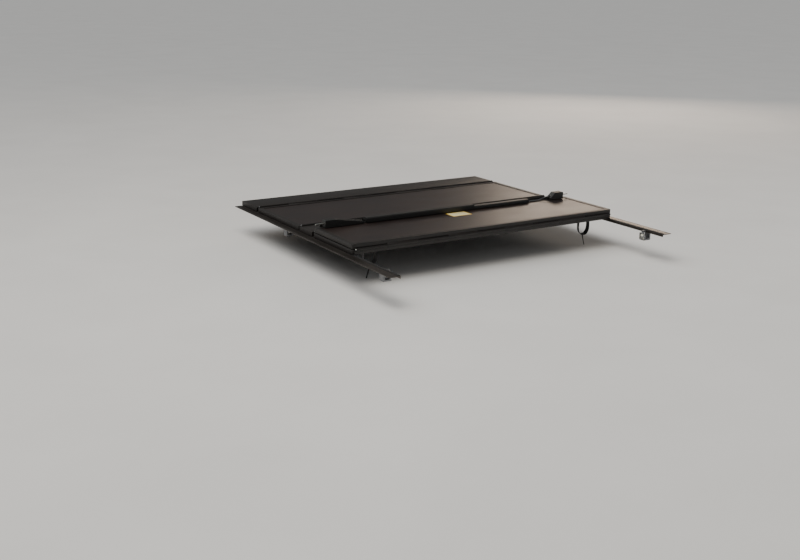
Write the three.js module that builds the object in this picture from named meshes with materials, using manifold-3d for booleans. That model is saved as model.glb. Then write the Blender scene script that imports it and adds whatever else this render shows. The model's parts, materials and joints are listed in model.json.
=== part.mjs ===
// A hard folding tonneau cover for a pickup bed, with its rear panel folded onto its middle panel.
// Millimetres. +X is to the right seen from the tailgate, +Y is toward the cab and +Z is up.
// The origin is the centre of the header seal's underside, on the plane of the bed rails.

import * as THREE from 'three';
import { mergeVertices } from 'three/addons/utils/BufferGeometryUtils.js';
import Module from 'manifold-3d';

const wasm = await Module();
wasm.setup();

// ---- driving dimensions ----

const gap = 0.3;                   // between pieces that touch
const bite = 1;                    // of a cutter or a joined shape past the face it meets
const panelWidth = 1630;
const panelThickness = 24;
const panelCorner = 12;            // corner radius in plan

const middlePanelLength = 408;
const rearPanelSetback = 8;        // of the folded rear panel's tail from the middle panel's front
const spacerLength = 138;
const frontPanelLength = 506;
const headerLength = 199;

const barrelRadius = 6;            // of a hinge knuckle
const barrelClearance = 1;         // from a barrel to the edges of its two panels
const foldedGap = 4;               // between two panels folded flat
const hingePinRadius = 3;
const pinClearance = 0.3;
const pinHeadOverhang = 1.6;
const pinHeadLength = 3;
const knuckleCount = 9;            // per hinge, shared by its two panels
const knuckleGap = 0.6;
const knuckleMargin = 15;          // from the panel's side to the outer knuckle
const webDepth = 9;                // of a knuckle's web below the panel's top
const webRoot = 2;                 // of the web inside its rail
const webTop = 0.5;                // of the web's root below the panel's top

const frameWidth = 26;             // of the lips that hold the sandwich
const lipThickness = 2;
const frameWall = 3;
const railWall = 5;                // of a hinge rail, behind its slot
const skinThickness = 1.5;
const sandwichInset = 9;           // from the panel's side to the sandwich's side
const sandwichEndInset = 6;

const railOverlap = 15;            // of a panel over the side rail
const railFlangeWidth = 60;
const railThickness = 3;
const railLipHeight = 10;
const railSealThickness = 1.9;
const railSealWidth = 13;
const railSealInset = 1;
const railSealEnd = 4;
const railSealTaper = 1;

const headerSealWidth = 40;
const headerLandMargin = 2;
const headerSealInset = 10;
const troughWall = 3;
const spacerRib = 4;

const barWidth = 38;               // of the covers and latches under the tail
const barInset = 3.5;              // from the tail's edge to the bar
const coverChamfer = 4;
const coverWall = 2;
const longCoverInset = 285;        // from the panel's left side to the long cover
const shortCoverInset = 291;       // from the panel's right side to the short cover
const coverJoint = 146;            // right of the centre line
const longCoverHeight = 26.7;
const shortCoverHeight = 17.7;
const cableSlot = 3.5;             // half width of the slots for the release cable
const cableSlotStep = 1;           // wider in the latch housings
const tailSealThickness = 3.7;
const tailSealHeight = 26;
const tailSealDrop = 11.5;         // of the seal's lower edge below the panel's underside
const tailSealInset = 35;

const housingInset = 45;           // from the panel's side to a latch housing
const housingLength = 90;
const leftHousingLength = 225;
const housingShoulder = 58;        // of full depth, before the slope
const housingHeel = 11;            // depth of the slope's inner end
const housingGuide = 22;           // of the slope left round the bolt's bore
const housingWall = 4;
const housingFloor = 9.8;          // under the spring's pocket
const housingRound = 3;
const boltRadius = 4;
const boltClearance = 0.3;
const boltCatch = 20;              // of the bolt's tip past the rail's lip
const boltLength = 120;
const boltTail = 8;
const boltTailRadius = 3;
const boltTravel = 18;
const lipClearance = 0.5;          // from the rail's lip to the bolt under it
const collarStep = 3;
const collarLength = 6.5;
const collarClearance = 0.5;
const pocketClearance = 1;         // round the bolt's collar
const slantAngle = 40;
const slantDrop = 1;               // of the slant below the bolt's axis, one radius from its tip
const springWire = 1;
const springTurns = 5;
const cableRadius = 2;
const cableDrop = 4;               // of the cable's axis below the panel's underside
const cableRise = 120;             // length of the cable's dip to the bolt

const rearClampFromTail = 129.5;
const frontClampFromHinge = 373.5;
const clampWidth = 36;
const clampNeck = 14;
const clampArm = 10;
const clampOuterArm = 8;
const clampThroat = 26;
const clampBase = 8;
const clampNose = 8;
const clampTop = 6;                // of the outer arm's end below the bed rail
const clampBoltDrop = 28;          // below the bed rail
const clampBoltRadius = 4;
const clampHeadRadius = 7.5;
const clampHeadLength = 6;
const washerSide = 34;
const washerThickness = 3;
const clampSkirt = 6;              // of the clamp below its washer

const rodRadius = 4;
const rodFootLength = 40;
const rodFootDrop = 5;             // of the standing foot's axis below the bed rail
const rodInset = 70;               // from the panel's side to the rod
const rodPivotShare = 0.375;       // of the front panel's length, from its hinge to the rod's pivot
const rodBraceAngle = 141;         // from stowed to standing on its seat
const rodEyeStep = 2;
const rodEyeHalf = 7;
const rodEyeClearance = 0.5;
const earThickness = 3;
const earClearance = 2;
const bracketPlate = 3;
const bracketFront = 22;           // from the pivot to the plate's front end
const bracketRear = 12;            // from the fingers' middle to the plate's rear end
const fingerShare = 0.75;          // of the rod's length, from its pivot to the fingers
const fingerWidth = 16;
const fingerThickness = 3;
const fingerClearance = 0.4;
const seatLength = 36;
const seatSlot = 16;
const seatFloor = 8;
const seatWall = 7;
const seatReach = 30;

const strapWidth = 25;
const strapThickness = 2;
const strapInset = 134;            // from the panel's side to the strap
const strapFromEdge = 73.5;        // from the middle panel's rear edge to the strap
const strapSpan = 69;
const strapDepth = 82;
const strapTailWidth = 9;
const strapTailLength = 60;
const anchorThickness = 6.3;
const anchorMargin = 12;
const anchorLength = 30;

// ---- worked-out places ----

const halfWidth = panelWidth / 2;
const underside = railThickness + railSealThickness + 2 * gap;
const topside = underside + panelThickness;
const hingeZ = topside + foldedGap / 2;
const hingeOffset = barrelRadius + barrelClearance;
const rearPanelLength = middlePanelLength - rearPanelSetback;

const headerFront = headerLength / 2;
const headerRear = -headerLength / 2;
const headerHinge = headerRear - hingeOffset;
const frontPanelFront = headerHinge - hingeOffset;
const frontPanelRear = frontPanelFront - frontPanelLength;
const frontHinge = frontPanelRear - hingeOffset;
const spacerFront = frontHinge - hingeOffset;
const spacerRear = spacerFront - spacerLength;
const middleHinge = spacerRear - hingeOffset;
const middlePanelFront = middleHinge - hingeOffset;
const middlePanelRear = middlePanelFront - middlePanelLength;
const rearHinge = middlePanelRear - hingeOffset;
const rearPanelFront = rearHinge - hingeOffset;
const tail = rearPanelFront - rearPanelLength;

const bottomSkinZ = underside + lipThickness + gap;
const coreZ = bottomSkinZ + skinThickness + gap;
const topSkinZ = topside - lipThickness - gap - skinThickness;
const slotBottom = underside + lipThickness;
const slotTop = topside - lipThickness;
const fittingTop = bottomSkinZ - gap;

const railInner = halfWidth - railOverlap;

const barRear = tail + barInset;
const barFront = barRear + barWidth;
const barCentre = (barRear + barFront) / 2;
const barTop = underside - gap;
const housingEnd = halfWidth - housingInset;
const shoulder = housingEnd - housingShoulder;
const pocketEnd = housingEnd - housingWall;
const boltZ = -railLipHeight - lipClearance - boltRadius;
const boltTip = railInner + boltCatch;
const boltStart = boltTip - boltLength;
const collarRadius = boltRadius + collarStep;
const pocketRadius = collarRadius + pocketClearance;
const springRadius = (boltRadius + pocketRadius) / 2;
const cableZ = underside - cableDrop;

const clampInner = railInner - 2 * clampArm;
const clampBottom = -clampBoltDrop - washerSide / 2 - clampSkirt;

const rodOffset = halfWidth - rodInset;
const rodEyeRadius = rodRadius + rodEyeStep;
const bracketBottom = fittingTop - bracketPlate;
const rodZ = bracketBottom - rodEyeClearance - rodEyeRadius;
const rodPivotFromHinge = rodPivotShare * frontPanelLength;
const rodPivot = headerHinge - rodPivotFromHinge;
const rodLean = THREE.MathUtils.degToRad(180 - rodBraceAngle);
const rodLength = (hingeZ + rodPivotFromHinge + rodFootDrop) / Math.cos(rodLean);

const strapOffset = halfWidth - strapInset;
const strapPlace = middlePanelRear + strapFromEdge;

// ---- materials ----

function finish(color, roughness, metalness) {
  return () => new THREE.MeshStandardMaterial({ color, roughness, metalness });
}

const texturedSkin = finish('#2a2321', 0.45, 0.2);
const foamCore = finish('#8a8578', 0.9, 0);
const blackAluminium = finish('#14130e', 0.45, 0.6);
const satinAluminium = finish('#5a5654', 0.4, 0.8);
const blackPlastic = finish('#121210', 0.6, 0);
const rubber = finish('#0e0e0d', 0.85, 0);
const zinc = finish('#c9ccd0', 0.3, 1);
const castAluminium = finish('#8f9092', 0.5, 0.9);
const steel = finish('#a7aaad', 0.35, 1);
const webbing = finish('#10100f', 0.9, 0);

// ---- shapes ----

function box(x0, x1, y0, y1, z0, z1) {
  const geometry = new THREE.BoxGeometry(x1 - x0, y1 - y0, z1 - z0);
  return geometry.translate((x0 + x1) / 2, (y0 + y1) / 2, (z0 + z1) / 2);
}

function outline(points) {
  return new THREE.Shape(points.map(([a, b]) => new THREE.Vector2(a, b)));
}

// Extrudes a profile drawn in (y, z) from x0 to x1.
function alongX(shape, x0, x1, curveSegments = 12) {
  const geometry = new THREE.ExtrudeGeometry(shape, { depth: x1 - x0, bevelEnabled: false, curveSegments });
  const turn = new THREE.Matrix4().makeBasis(
    new THREE.Vector3(0, 1, 0),
    new THREE.Vector3(0, 0, 1),
    new THREE.Vector3(1, 0, 0),
  );
  return geometry.applyMatrix4(turn).translate(x0, 0, 0);
}

// Extrudes a profile drawn in (x, z) from y0 to y1.
function alongY(shape, y0, y1) {
  const geometry = new THREE.ExtrudeGeometry(shape, { depth: y1 - y0, bevelEnabled: false });
  const turn = new THREE.Matrix4().makeBasis(
    new THREE.Vector3(1, 0, 0),
    new THREE.Vector3(0, 0, 1),
    new THREE.Vector3(0, -1, 0),
  );
  return geometry.applyMatrix4(turn).translate(0, y1, 0);
}

// Extrudes a profile drawn in (x, y) from z0 to z1.
function alongZ(shape, z0, z1, curveSegments = 4) {
  const geometry = new THREE.ExtrudeGeometry(shape, { depth: z1 - z0, bevelEnabled: false, curveSegments });
  return geometry.translate(0, 0, z0);
}

function cylinderX(radius, x0, x1, y, z, sides = 16) {
  const geometry = new THREE.CylinderGeometry(radius, radius, x1 - x0, sides);
  return geometry.rotateZ(-Math.PI / 2).translate((x0 + x1) / 2, y, z);
}

function cylinderY(radius, y0, y1, x, z, sides = 16) {
  const geometry = new THREE.CylinderGeometry(radius, radius, y1 - y0, sides);
  return geometry.translate(x, (y0 + y1) / 2, z);
}

// Turns a (position along X, radius) profile about an axis along X through (y, z).
function turnedX(profile, y, z, sides = 16) {
  const points = profile.map(([x, radius]) => new THREE.Vector2(radius, x));
  return new THREE.LatheGeometry(points, sides).rotateZ(-Math.PI / 2).translate(0, y, z);
}

function solid(geometry) {
  const bare = geometry.index ? geometry.clone() : geometry;
  bare.deleteAttribute('normal');
  bare.deleteAttribute('uv');
  const merged = mergeVertices(bare, 1e-4);
  return new wasm.Manifold(new wasm.Mesh({
    numProp: 3,
    vertProperties: new Float32Array(merged.attributes.position.array),
    triVerts: new Uint32Array(merged.index.array),
  }));
}

function surface(manifold) {
  const mesh = manifold.getMesh();
  const geometry = new THREE.BufferGeometry();
  geometry.setAttribute('position', new THREE.BufferAttribute(mesh.vertProperties, 3));
  geometry.setIndex(new THREE.BufferAttribute(mesh.triVerts, 1));
  geometry.computeVertexNormals();
  return geometry;
}

function join(...geometries) {
  return surface(geometries.map(solid).reduce((whole, next) => whole.add(next)));
}

function cut(geometry, ...cutters) {
  return surface(cutters.map(solid).reduce((whole, next) => whole.subtract(next), solid(geometry)));
}

function add(group, name, geometry, material) {
  const mesh = new THREE.Mesh(geometry, material());
  mesh.name = name;
  group.add(mesh);
  return mesh;
}

// The mirror image in X of a piece, with its faces turned to point out again.
function mirrored(geometry) {
  const image = surface(solid(geometry));
  image.applyMatrix4(new THREE.Matrix4().makeScale(-1, 1, 1));
  const index = image.index.array;
  for (let i = 0; i < index.length; i += 3) {
    [index[i], index[i + 1]] = [index[i + 1], index[i]];
  }
  return image;
}

function addPair(group, name, right, material) {
  add(group, `${name}_left`, mirrored(right), material);
  add(group, `${name}_right`, surface(solid(right)), material);
}

// ---- hinges ----

// One knuckle's section: a barrel about the hinge axis and the web that joins it to the rail.
// outward is the direction in Y from the rail's edge to the hinge axis.
function knuckleShape(edge, outward) {
  const axis = edge + outward * hingeOffset;
  const root = edge - outward * webRoot;
  const shape = new THREE.Shape();
  shape.moveTo(root, topside - webDepth);
  shape.lineTo(axis, hingeZ - barrelRadius);
  if (outward > 0) {
    shape.absarc(axis, hingeZ, barrelRadius, -Math.PI / 2, Math.PI, false);
  } else {
    shape.absarc(axis, hingeZ, barrelRadius, -Math.PI / 2, 0, true);
  }
  shape.lineTo(root, topside - webTop);
  const bore = new THREE.Path();
  bore.absarc(axis, hingeZ, hingePinRadius + pinClearance, 0, Math.PI * 2, false);
  shape.holes.push(bore);
  return shape;
}

// Every second knuckle of a hinge, starting from the first (0) or the second (1).
function knuckles(edge, outward, first) {
  const span = panelWidth - 2 * knuckleMargin;
  const pitch = span / knuckleCount;
  const shape = knuckleShape(edge, outward);
  const found = [];
  for (let i = first; i < knuckleCount; i += 2) {
    const start = -span / 2 + i * pitch;
    found.push(alongX(shape, start + knuckleGap / 2, start + pitch - knuckleGap / 2, 7));
  }
  return found;
}

function hingePin(y) {
  const end = halfWidth - knuckleMargin + gap / 2;
  const profile = [
    [-end - pinHeadLength, 0],
    [-end - pinHeadLength, hingePinRadius + pinHeadOverhang],
    [-end, hingePinRadius + pinHeadOverhang],
    [-end, hingePinRadius],
    [end, hingePinRadius],
    [end, hingePinRadius + pinHeadOverhang],
    [end + pinHeadLength, hingePinRadius + pinHeadOverhang],
    [end + pinHeadLength, 0],
  ];
  return turnedX(profile, y, hingeZ);
}

// ---- panels ----

// The rail along a panel's front or rear edge: rounded outer corners, and a slot for the sandwich.
function edgeRail(edge, outward) {
  const inner = edge - outward * frameWidth;
  const shape = new THREE.Shape();
  shape.moveTo(-halfWidth, inner);
  shape.lineTo(-halfWidth, edge - outward * panelCorner);
  if (outward > 0) {
    shape.absarc(-halfWidth + panelCorner, edge - panelCorner, panelCorner, Math.PI, Math.PI / 2, true);
    shape.absarc(halfWidth - panelCorner, edge - panelCorner, panelCorner, Math.PI / 2, 0, true);
  } else {
    shape.absarc(-halfWidth + panelCorner, edge + panelCorner, panelCorner, Math.PI, Math.PI * 1.5, false);
    shape.absarc(halfWidth - panelCorner, edge + panelCorner, panelCorner, Math.PI * 1.5, Math.PI * 2, false);
  }
  shape.lineTo(halfWidth, inner);
  const wall = edge - outward * railWall;
  const past = inner - outward * bite;
  const slotHalf = halfWidth - railWall;
  const slot = box(-slotHalf, slotHalf, Math.min(wall, past), Math.max(wall, past), slotBottom, slotTop);
  return cut(alongZ(shape, underside, topside), slot);
}

function sideFrame(rear, front) {
  const outer = halfWidth;
  const inner = halfWidth - frameWidth;
  const wall = halfWidth - frameWall;
  const points = [
    [outer, underside],
    [outer, topside],
    [inner, topside],
    [inner, slotTop],
    [wall, slotTop],
    [wall, slotBottom],
    [inner, slotBottom],
    [inner, underside],
  ];
  return alongY(outline(points), rear + frameWidth + gap, front - frameWidth - gap);
}

// A sandwich panel in its frame. rearFirst and frontFirst pick the knuckles that its rails carry.
function sandwichPanel(group, name, rear, front, rearRail, rearFirst, frontFirst) {
  const half = halfWidth - sandwichInset;
  const y0 = rear + sandwichEndInset;
  const y1 = front - sandwichEndInset;
  add(group, `${name}_top_skin`, box(-half, half, y0, y1, topSkinZ, topSkinZ + skinThickness), texturedSkin);
  add(group, `${name}_core`, box(-half, half, y0, y1, coreZ, topSkinZ - gap), foamCore);
  add(
    group,
    `${name}_bottom_skin`,
    box(-half, half, y0, y1, bottomSkinZ, bottomSkinZ + skinThickness),
    texturedSkin,
  );
  addPair(group, `${name}_frame`, sideFrame(rear, front), blackAluminium);
  const rearParts = rearFirst === null ? [] : knuckles(rear, -1, rearFirst);
  add(group, `${name}_${rearRail}`, join(edgeRail(rear, -1), ...rearParts), blackAluminium);
  add(
    group,
    `${name}_front_hinge_rail`,
    join(edgeRail(front, 1), ...knuckles(front, 1, frontFirst)),
    blackAluminium,
  );
}

// A solid panel hollowed out from below, with a land along its middle and its knuckles.
function troughPanel(rear, front, landWidth, rearFirst, frontFirst) {
  const middle = (rear + front) / 2;
  const roof = topside - troughWall;
  const end = halfWidth - troughWall;
  const body = box(-halfWidth, halfWidth, rear, front, underside, topside);
  const pockets = [
    box(-end, end, rear + railWall, middle - landWidth / 2, underside - bite, roof),
    box(-end, end, middle + landWidth / 2, front - railWall, underside - bite, roof),
  ];
  const parts = knuckles(rear, -1, rearFirst);
  if (frontFirst !== null) {
    parts.push(...knuckles(front, 1, frontFirst));
  }
  return join(cut(body, ...pockets), ...parts);
}

// ---- pieces fixed to the bed ----

function sideRail() {
  const points = [
    [railInner, -railLipHeight],
    [railInner + railThickness, -railLipHeight],
    [railInner + railThickness, 0],
    [railInner + railFlangeWidth, 0],
    [railInner + railFlangeWidth, railThickness],
    [railInner, railThickness],
  ];
  return alongY(outline(points), tail, headerFront);
}

function railSeal() {
  const inner = railInner + railSealInset;
  const outer = inner + railSealWidth;
  const bottom = railThickness + gap;
  const top = bottom + railSealThickness;
  const points = [
    [inner, bottom],
    [outer, bottom],
    [outer - railSealTaper, top],
    [inner + railSealTaper, top],
  ];
  return alongY(outline(points), tail + railSealEnd, headerFront - railSealEnd);
}

// A clamp opens upward. Its nose and its outer arm hold the rail's lip and the bed's flange between them.
function clamp(place) {
  const nose = railInner - gap;
  const armOuter = clampInner + clampArm;
  const outerArm = armOuter + clampThroat;
  const noseTop = clampArm - railLipHeight;
  const points = [
    [clampInner, clampBottom],
    [outerArm + clampOuterArm, clampBottom],
    [outerArm + clampOuterArm, -clampTop],
    [outerArm, -clampTop],
    [outerArm, clampBottom + clampBase],
    [armOuter, clampBottom + clampBase],
    [armOuter, noseTop - clampNose],
    [nose, noseTop - clampNose],
    [nose, noseTop],
    [clampInner, noseTop],
  ];
  const body = alongY(outline(points), place - clampWidth / 2, place + clampWidth / 2);
  const neckBottom = -railLipHeight - clampArm;
  const inside = clampInner - bite;
  const half = clampWidth / 2 + bite;
  const neck = clampNeck / 2;
  return cut(
    body,
    box(inside, railInner, place - half, place - neck, neckBottom, noseTop + bite),
    box(inside, railInner, place + neck, place + half, neckBottom, noseTop + bite),
    cylinderX(clampBoltRadius + pinClearance, inside, armOuter + bite, place, -clampBoltDrop),
  );
}

// A hexagon-headed bolt with a square washer against the clamp's inner arm.
function clampBolt(place) {
  const washer = clampInner - gap - washerThickness;
  const half = washerSide / 2;
  const z = -clampBoltDrop;
  return join(
    cylinderX(clampBoltRadius, washer, railInner + railThickness, place, z, 12),
    cylinderX(clampHeadRadius, washer - clampHeadLength, washer + bite, place, z, 6),
    box(washer, washer + washerThickness, place - half, place + half, z - half, z + half),
  );
}

// A cradle on the rail's lip that a prop rod's foot stands in when the panels stand upright.
function rodSeat() {
  const y = headerHinge + rodZ - hingeZ - rodLength * Math.sin(rodLean);
  const floor = -rodFootDrop - rodRadius - gap;
  const points = [
    [y - seatLength / 2, floor - seatFloor],
    [y + seatLength / 2, floor - seatFloor],
    [y + seatLength / 2, floor + seatWall],
    [y + seatSlot / 2, floor + seatWall],
    [y + seatSlot / 2, floor],
    [y - seatSlot / 2, floor],
    [y - seatSlot / 2, floor + seatWall],
    [y - seatLength / 2, floor + seatWall],
  ];
  return alongX(outline(points), railInner - seatReach, railInner + bite);
}

function buildFixedPieces(group) {
  addPair(group, 'side_rail', join(sideRail(), rodSeat()), satinAluminium);
  addPair(group, 'rail_seal', railSeal(), rubber);
  const land = headerSealWidth + 2 * headerLandMargin;
  add(group, 'header_panel', troughPanel(headerRear, headerFront, land, 0, null), blackAluminium);
  const sealHalf = railInner - headerSealInset;
  const sealSide = headerSealWidth / 2;
  add(group, 'header_seal', box(-sealHalf, sealHalf, -sealSide, sealSide, 0, underside - gap), rubber);
  add(group, 'header_hinge_pin', hingePin(headerHinge), steel);
  const places = { rear: tail + rearClampFromTail, front: headerHinge - frontClampFromHinge };
  for (const [end, place] of Object.entries(places)) {
    addPair(group, `${end}_clamp`, clamp(place), castAluminium);
    addPair(group, `${end}_clamp_bolt`, clampBolt(place), zinc);
  }
}

// ---- front panel and its prop rods ----

// A long base plate with two ears and a pin at the rod's pivot, and two fingers that clip the stowed rod.
function rodBracket() {
  const inside = rodEyeHalf + earClearance;
  const outside = inside + earThickness;
  const plateHalf = outside + earThickness;
  const plateLow = bracketBottom + bite;
  const earRear = rodPivot - rodEyeRadius - bite;
  const earFront = rodPivot + rodEyeRadius + bite;
  const earEnd = rodZ - rodEyeRadius - bite;
  const clip = rodPivot - rodLength * fingerShare;
  const clipRear = clip - fingerWidth / 2;
  const clipFront = clip + fingerWidth / 2;
  const finger = rodRadius + fingerClearance;
  const fingerOut = finger + fingerThickness;
  const fingerEnd = rodZ - rodRadius / 2;
  const x = rodOffset;
  return join(
    box(x - plateHalf, x + plateHalf, clip - bracketRear, rodPivot + bracketFront, bracketBottom, fittingTop),
    cylinderX(hingePinRadius, x - inside - bite, x + inside + bite, rodPivot, rodZ),
    box(x - outside, x - inside, earRear, earFront, earEnd, plateLow),
    box(x + inside, x + outside, earRear, earFront, earEnd, plateLow),
    box(x - fingerOut, x - finger, clipRear, clipFront, fingerEnd, plateLow),
    box(x + finger, x + fingerOut, clipRear, clipFront, fingerEnd, plateLow),
  );
}

// A round rod with an eye on its pivot and a foot turned outward.
function propRod() {
  const x = rodOffset;
  const foot = rodPivot - rodLength;
  const corner = new THREE.SphereGeometry(rodRadius, 12, 8).translate(x, foot, rodZ);
  const half = rodEyeHalf;
  return cut(
    join(
      cylinderX(rodEyeRadius, x - half, x + half, rodPivot, rodZ),
      cylinderY(rodRadius, foot, rodPivot, x, rodZ, 12),
      corner,
      cylinderX(rodRadius, x, x + rodFootLength, foot, rodZ, 12),
    ),
    cylinderX(hingePinRadius + pinClearance, x - half - bite, x + half + bite, rodPivot, rodZ),
  );
}

function buildFrontPanel(group) {
  sandwichPanel(group, 'front_panel', frontPanelRear, frontPanelFront, 'rear_hinge_rail', 0, 1);
  add(group, 'front_panel_hinge_pin', hingePin(frontHinge), steel);
  addPair(group, 'prop_rod_bracket', rodBracket(), blackAluminium);
  addPair(group, 'prop_rod', propRod(), steel);
}

// ---- spacer panel ----

function buildSpacer(group) {
  add(group, 'spacer_panel', troughPanel(spacerRear, spacerFront, spacerRib, 0, 1), blackAluminium);
  add(group, 'spacer_hinge_pin', hingePin(middleHinge), steel);
}

// ---- middle panel and its straps ----

// A flat band that follows points in one plane across Y, with its width along Y.
function strapBand(width, points, steps) {
  const half = width / 2;
  const thin = strapThickness / 2;
  const section = outline([[-half, -thin], [half, -thin], [half, thin], [-half, thin]]);
  const path = new THREE.CatmullRomCurve3(points.map(([x, z]) => new THREE.Vector3(x, strapPlace, z)));
  const geometry = new THREE.ExtrudeGeometry(section, { steps, extrudePath: path });
  return surface(solid(geometry));
}

// A loop that hangs from its anchor plate, with straight sides and a round bottom.
function strapLoop() {
  const x = strapOffset;
  const half = strapSpan / 2;
  const start = fittingTop - anchorThickness - gap;
  const drop = start + strapDepth;
  return strapBand(strapWidth, [
    [x - half, start],
    [x - half, start - 0.1 * drop],
    [x - half, start - 0.25 * drop],
    [x - half, start - 0.5 * drop],
    [x - 0.88 * half, start - 0.75 * drop],
    [x - 0.5 * half, start - 0.95 * drop],
    [x, -strapDepth],
    [x + 0.5 * half, start - 0.95 * drop],
    [x + 0.88 * half, start - 0.75 * drop],
    [x + half, start - 0.5 * drop],
    [x + half, start - 0.25 * drop],
    [x + half, start - 0.1 * drop],
    [x + half, start],
  ], 40);
}

// The narrow free end below the loop, swinging outward.
function strapTail() {
  const x = strapOffset;
  const start = -strapDepth - strapThickness / 2 - 2 * gap;
  return strapBand(strapTailWidth, [
    [x, start],
    [x + 2, start - 0.28 * strapTailLength],
    [x + 8, start - 0.6 * strapTailLength],
    [x + 15, start - strapTailLength],
  ], 12);
}

function buildMiddlePanel(group) {
  sandwichPanel(group, 'middle_panel', middlePanelRear, middlePanelFront, 'rear_hinge_rail', 0, 1);
  add(group, 'middle_panel_hinge_pin', hingePin(rearHinge), zinc);
  const plateHalf = strapSpan / 2 + anchorMargin;
  const plateRear = strapPlace - anchorLength / 2;
  const plate = box(strapOffset - plateHalf, strapOffset + plateHalf, plateRear, plateRear + anchorLength,
    fittingTop - anchorThickness, fittingTop);
  addPair(group, 'strap_anchor', plate, blackPlastic);
  addPair(group, 'strap_loop', strapLoop(), webbing);
  addPair(group, 'strap_tail', strapTail(), webbing);
}

// ---- rear panel, built lying closed and then folded over ----

// A cover under the tail: a trough that opens against the panel, with a slot at each end for the cable.
function tailCover(x0, x1, height) {
  const bottom = barTop - height;
  const points = [
    [barRear, barTop],
    [barRear, bottom + coverChamfer],
    [barRear + coverChamfer, bottom],
    [barFront - coverChamfer, bottom],
    [barFront, bottom + coverChamfer],
    [barFront, barTop],
  ];
  const wall = coverWall;
  const slotBase = cableZ - cableSlot;
  return cut(
    alongX(outline(points), x0, x1),
    box(x0 + wall, x1 - wall, barRear + wall, barFront - wall, bottom + coverChamfer, barTop + bite),
    box(x0 - bite, x1 + bite, barCentre - cableSlot, barCentre + cableSlot, slotBase, barTop + bite),
  );
}

// The block that guides a latch bolt. Its inner end slopes away and is slotted for the release cable.
function latchHousing(length) {
  const bottom = boltZ - pocketRadius - housingFloor;
  const innerEnd = housingEnd - length;
  const points = [
    [housingEnd, barTop],
    [housingEnd, bottom + housingRound],
    [housingEnd - housingRound, bottom],
    [shoulder, bottom],
    [innerEnd, barTop - housingHeel],
    [innerEnd, barTop],
  ];
  const slotEnd = shoulder - housingGuide;
  const slotHalf = cableSlot + cableSlotStep;
  const inside = innerEnd - bite;
  return cut(
    alongY(outline(points), barRear, barFront),
    cylinderX(boltRadius + boltClearance, inside, housingEnd + bite, barCentre, boltZ),
    cylinderX(pocketRadius, shoulder + housingWall, pocketEnd, barCentre, boltZ),
    box(inside, slotEnd, barCentre - slotHalf, barCentre + slotHalf, bottom - bite, barTop + bite),
  );
}

// A round bolt with a collar for its spring and a slanted tip that rides down over the rail.
function latchBolt() {
  const collarEnd = pocketEnd - collarClearance;
  const profile = [
    [boltStart - boltTail, 0],
    [boltStart - boltTail, boltTailRadius],
    [boltStart, boltTailRadius],
    [boltStart, boltRadius],
    [collarEnd - collarLength, boltRadius],
    [collarEnd - collarLength, collarRadius],
    [collarEnd, collarRadius],
    [collarEnd, boltRadius],
    [boltTip, boltRadius],
    [boltTip, 0],
  ];
  const block = 8 * boltRadius;
  const slant = new THREE.BoxGeometry(block, block, block).translate(0, 0, -block / 2);
  slant.rotateY(-THREE.MathUtils.degToRad(slantAngle));
  slant.translate(boltTip - boltRadius, barCentre, boltZ - slantDrop);
  return cut(turnedX(profile, barCentre, boltZ), slant);
}

class Helix extends THREE.Curve {
  constructor(x0, x1) {
    super();
    this.x0 = x0;
    this.x1 = x1;
  }

  getPoint(t, target = new THREE.Vector3()) {
    const angle = t * springTurns * 2 * Math.PI;
    return target.set(
      this.x0 + (this.x1 - this.x0) * t,
      barCentre + springRadius * Math.cos(angle),
      boltZ + springRadius * Math.sin(angle),
    );
  }
}

function latchSpring() {
  const start = shoulder + housingWall + springWire + gap;
  const end = pocketEnd - collarClearance - collarLength - springWire - gap;
  const section = new THREE.Shape();
  section.absarc(0, 0, springWire, 0, Math.PI * 2, false);
  const path = new Helix(start, end);
  const steps = springTurns * 10;
  const geometry = new THREE.ExtrudeGeometry(section, { steps, extrudePath: path, curveSegments: 3 });
  return surface(solid(geometry));
}

// The cable runs from latch to latch inside the covers and dips to the bolts at its ends.
function releaseCable() {
  const end = boltStart - boltTail - boltTravel - cableRadius;
  const dip = [[0, 0], [0.25, 0.5], [0.6, 0.96], [1, 1]]; // along and up, as shares of the whole dip
  const left = dip.map(([along, up]) => [-end + along * cableRise, boltZ + up * (cableZ - boltZ)]);
  const right = left.map(([x, z]) => [-x, z]).reverse();
  const places = [...left, [0, cableZ], ...right];
  const section = new THREE.Shape();
  section.absarc(0, 0, cableRadius, 0, Math.PI * 2, false);
  const path = new THREE.CatmullRomCurve3(places.map(([x, z]) => new THREE.Vector3(x, barCentre, z)));
  const geometry = new THREE.ExtrudeGeometry(section, { steps: 40, extrudePath: path, curveSegments: 4 });
  return surface(solid(geometry));
}

function buildRearPanel(group) {
  sandwichPanel(group, 'rear_panel', tail, rearPanelFront, 'tail_rail', null, 1);
  const sealHalf = halfWidth - tailSealInset;
  const sealBottom = underside - tailSealDrop;
  const sealTop = sealBottom + tailSealHeight;
  const seal = box(-sealHalf, sealHalf, tail - gap - tailSealThickness, tail - gap, sealBottom, sealTop);
  add(group, 'tail_seal', seal, rubber);
  const longCoverStart = longCoverInset - halfWidth;
  const shortCoverStart = coverJoint + 2 * gap;
  const shortCoverEnd = halfWidth - shortCoverInset;
  add(group, 'tail_cover_long', tailCover(longCoverStart, coverJoint, longCoverHeight), blackPlastic);
  add(group, 'tail_cover_short', tailCover(shortCoverStart, shortCoverEnd, shortCoverHeight), blackPlastic);
  add(group, 'latch_housing_left', mirrored(latchHousing(leftHousingLength)), blackPlastic);
  add(group, 'latch_housing_right', latchHousing(housingLength), blackPlastic);
  addPair(group, 'latch_bolt', latchBolt(), zinc);
  addPair(group, 'latch_spring', latchSpring(), steel);
  add(group, 'release_cable', releaseCable(), steel);
}

// ---- the cover ----

const cover = new THREE.Group();
buildFixedPieces(cover);
buildFrontPanel(cover);
buildSpacer(cover);
buildMiddlePanel(cover);

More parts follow.
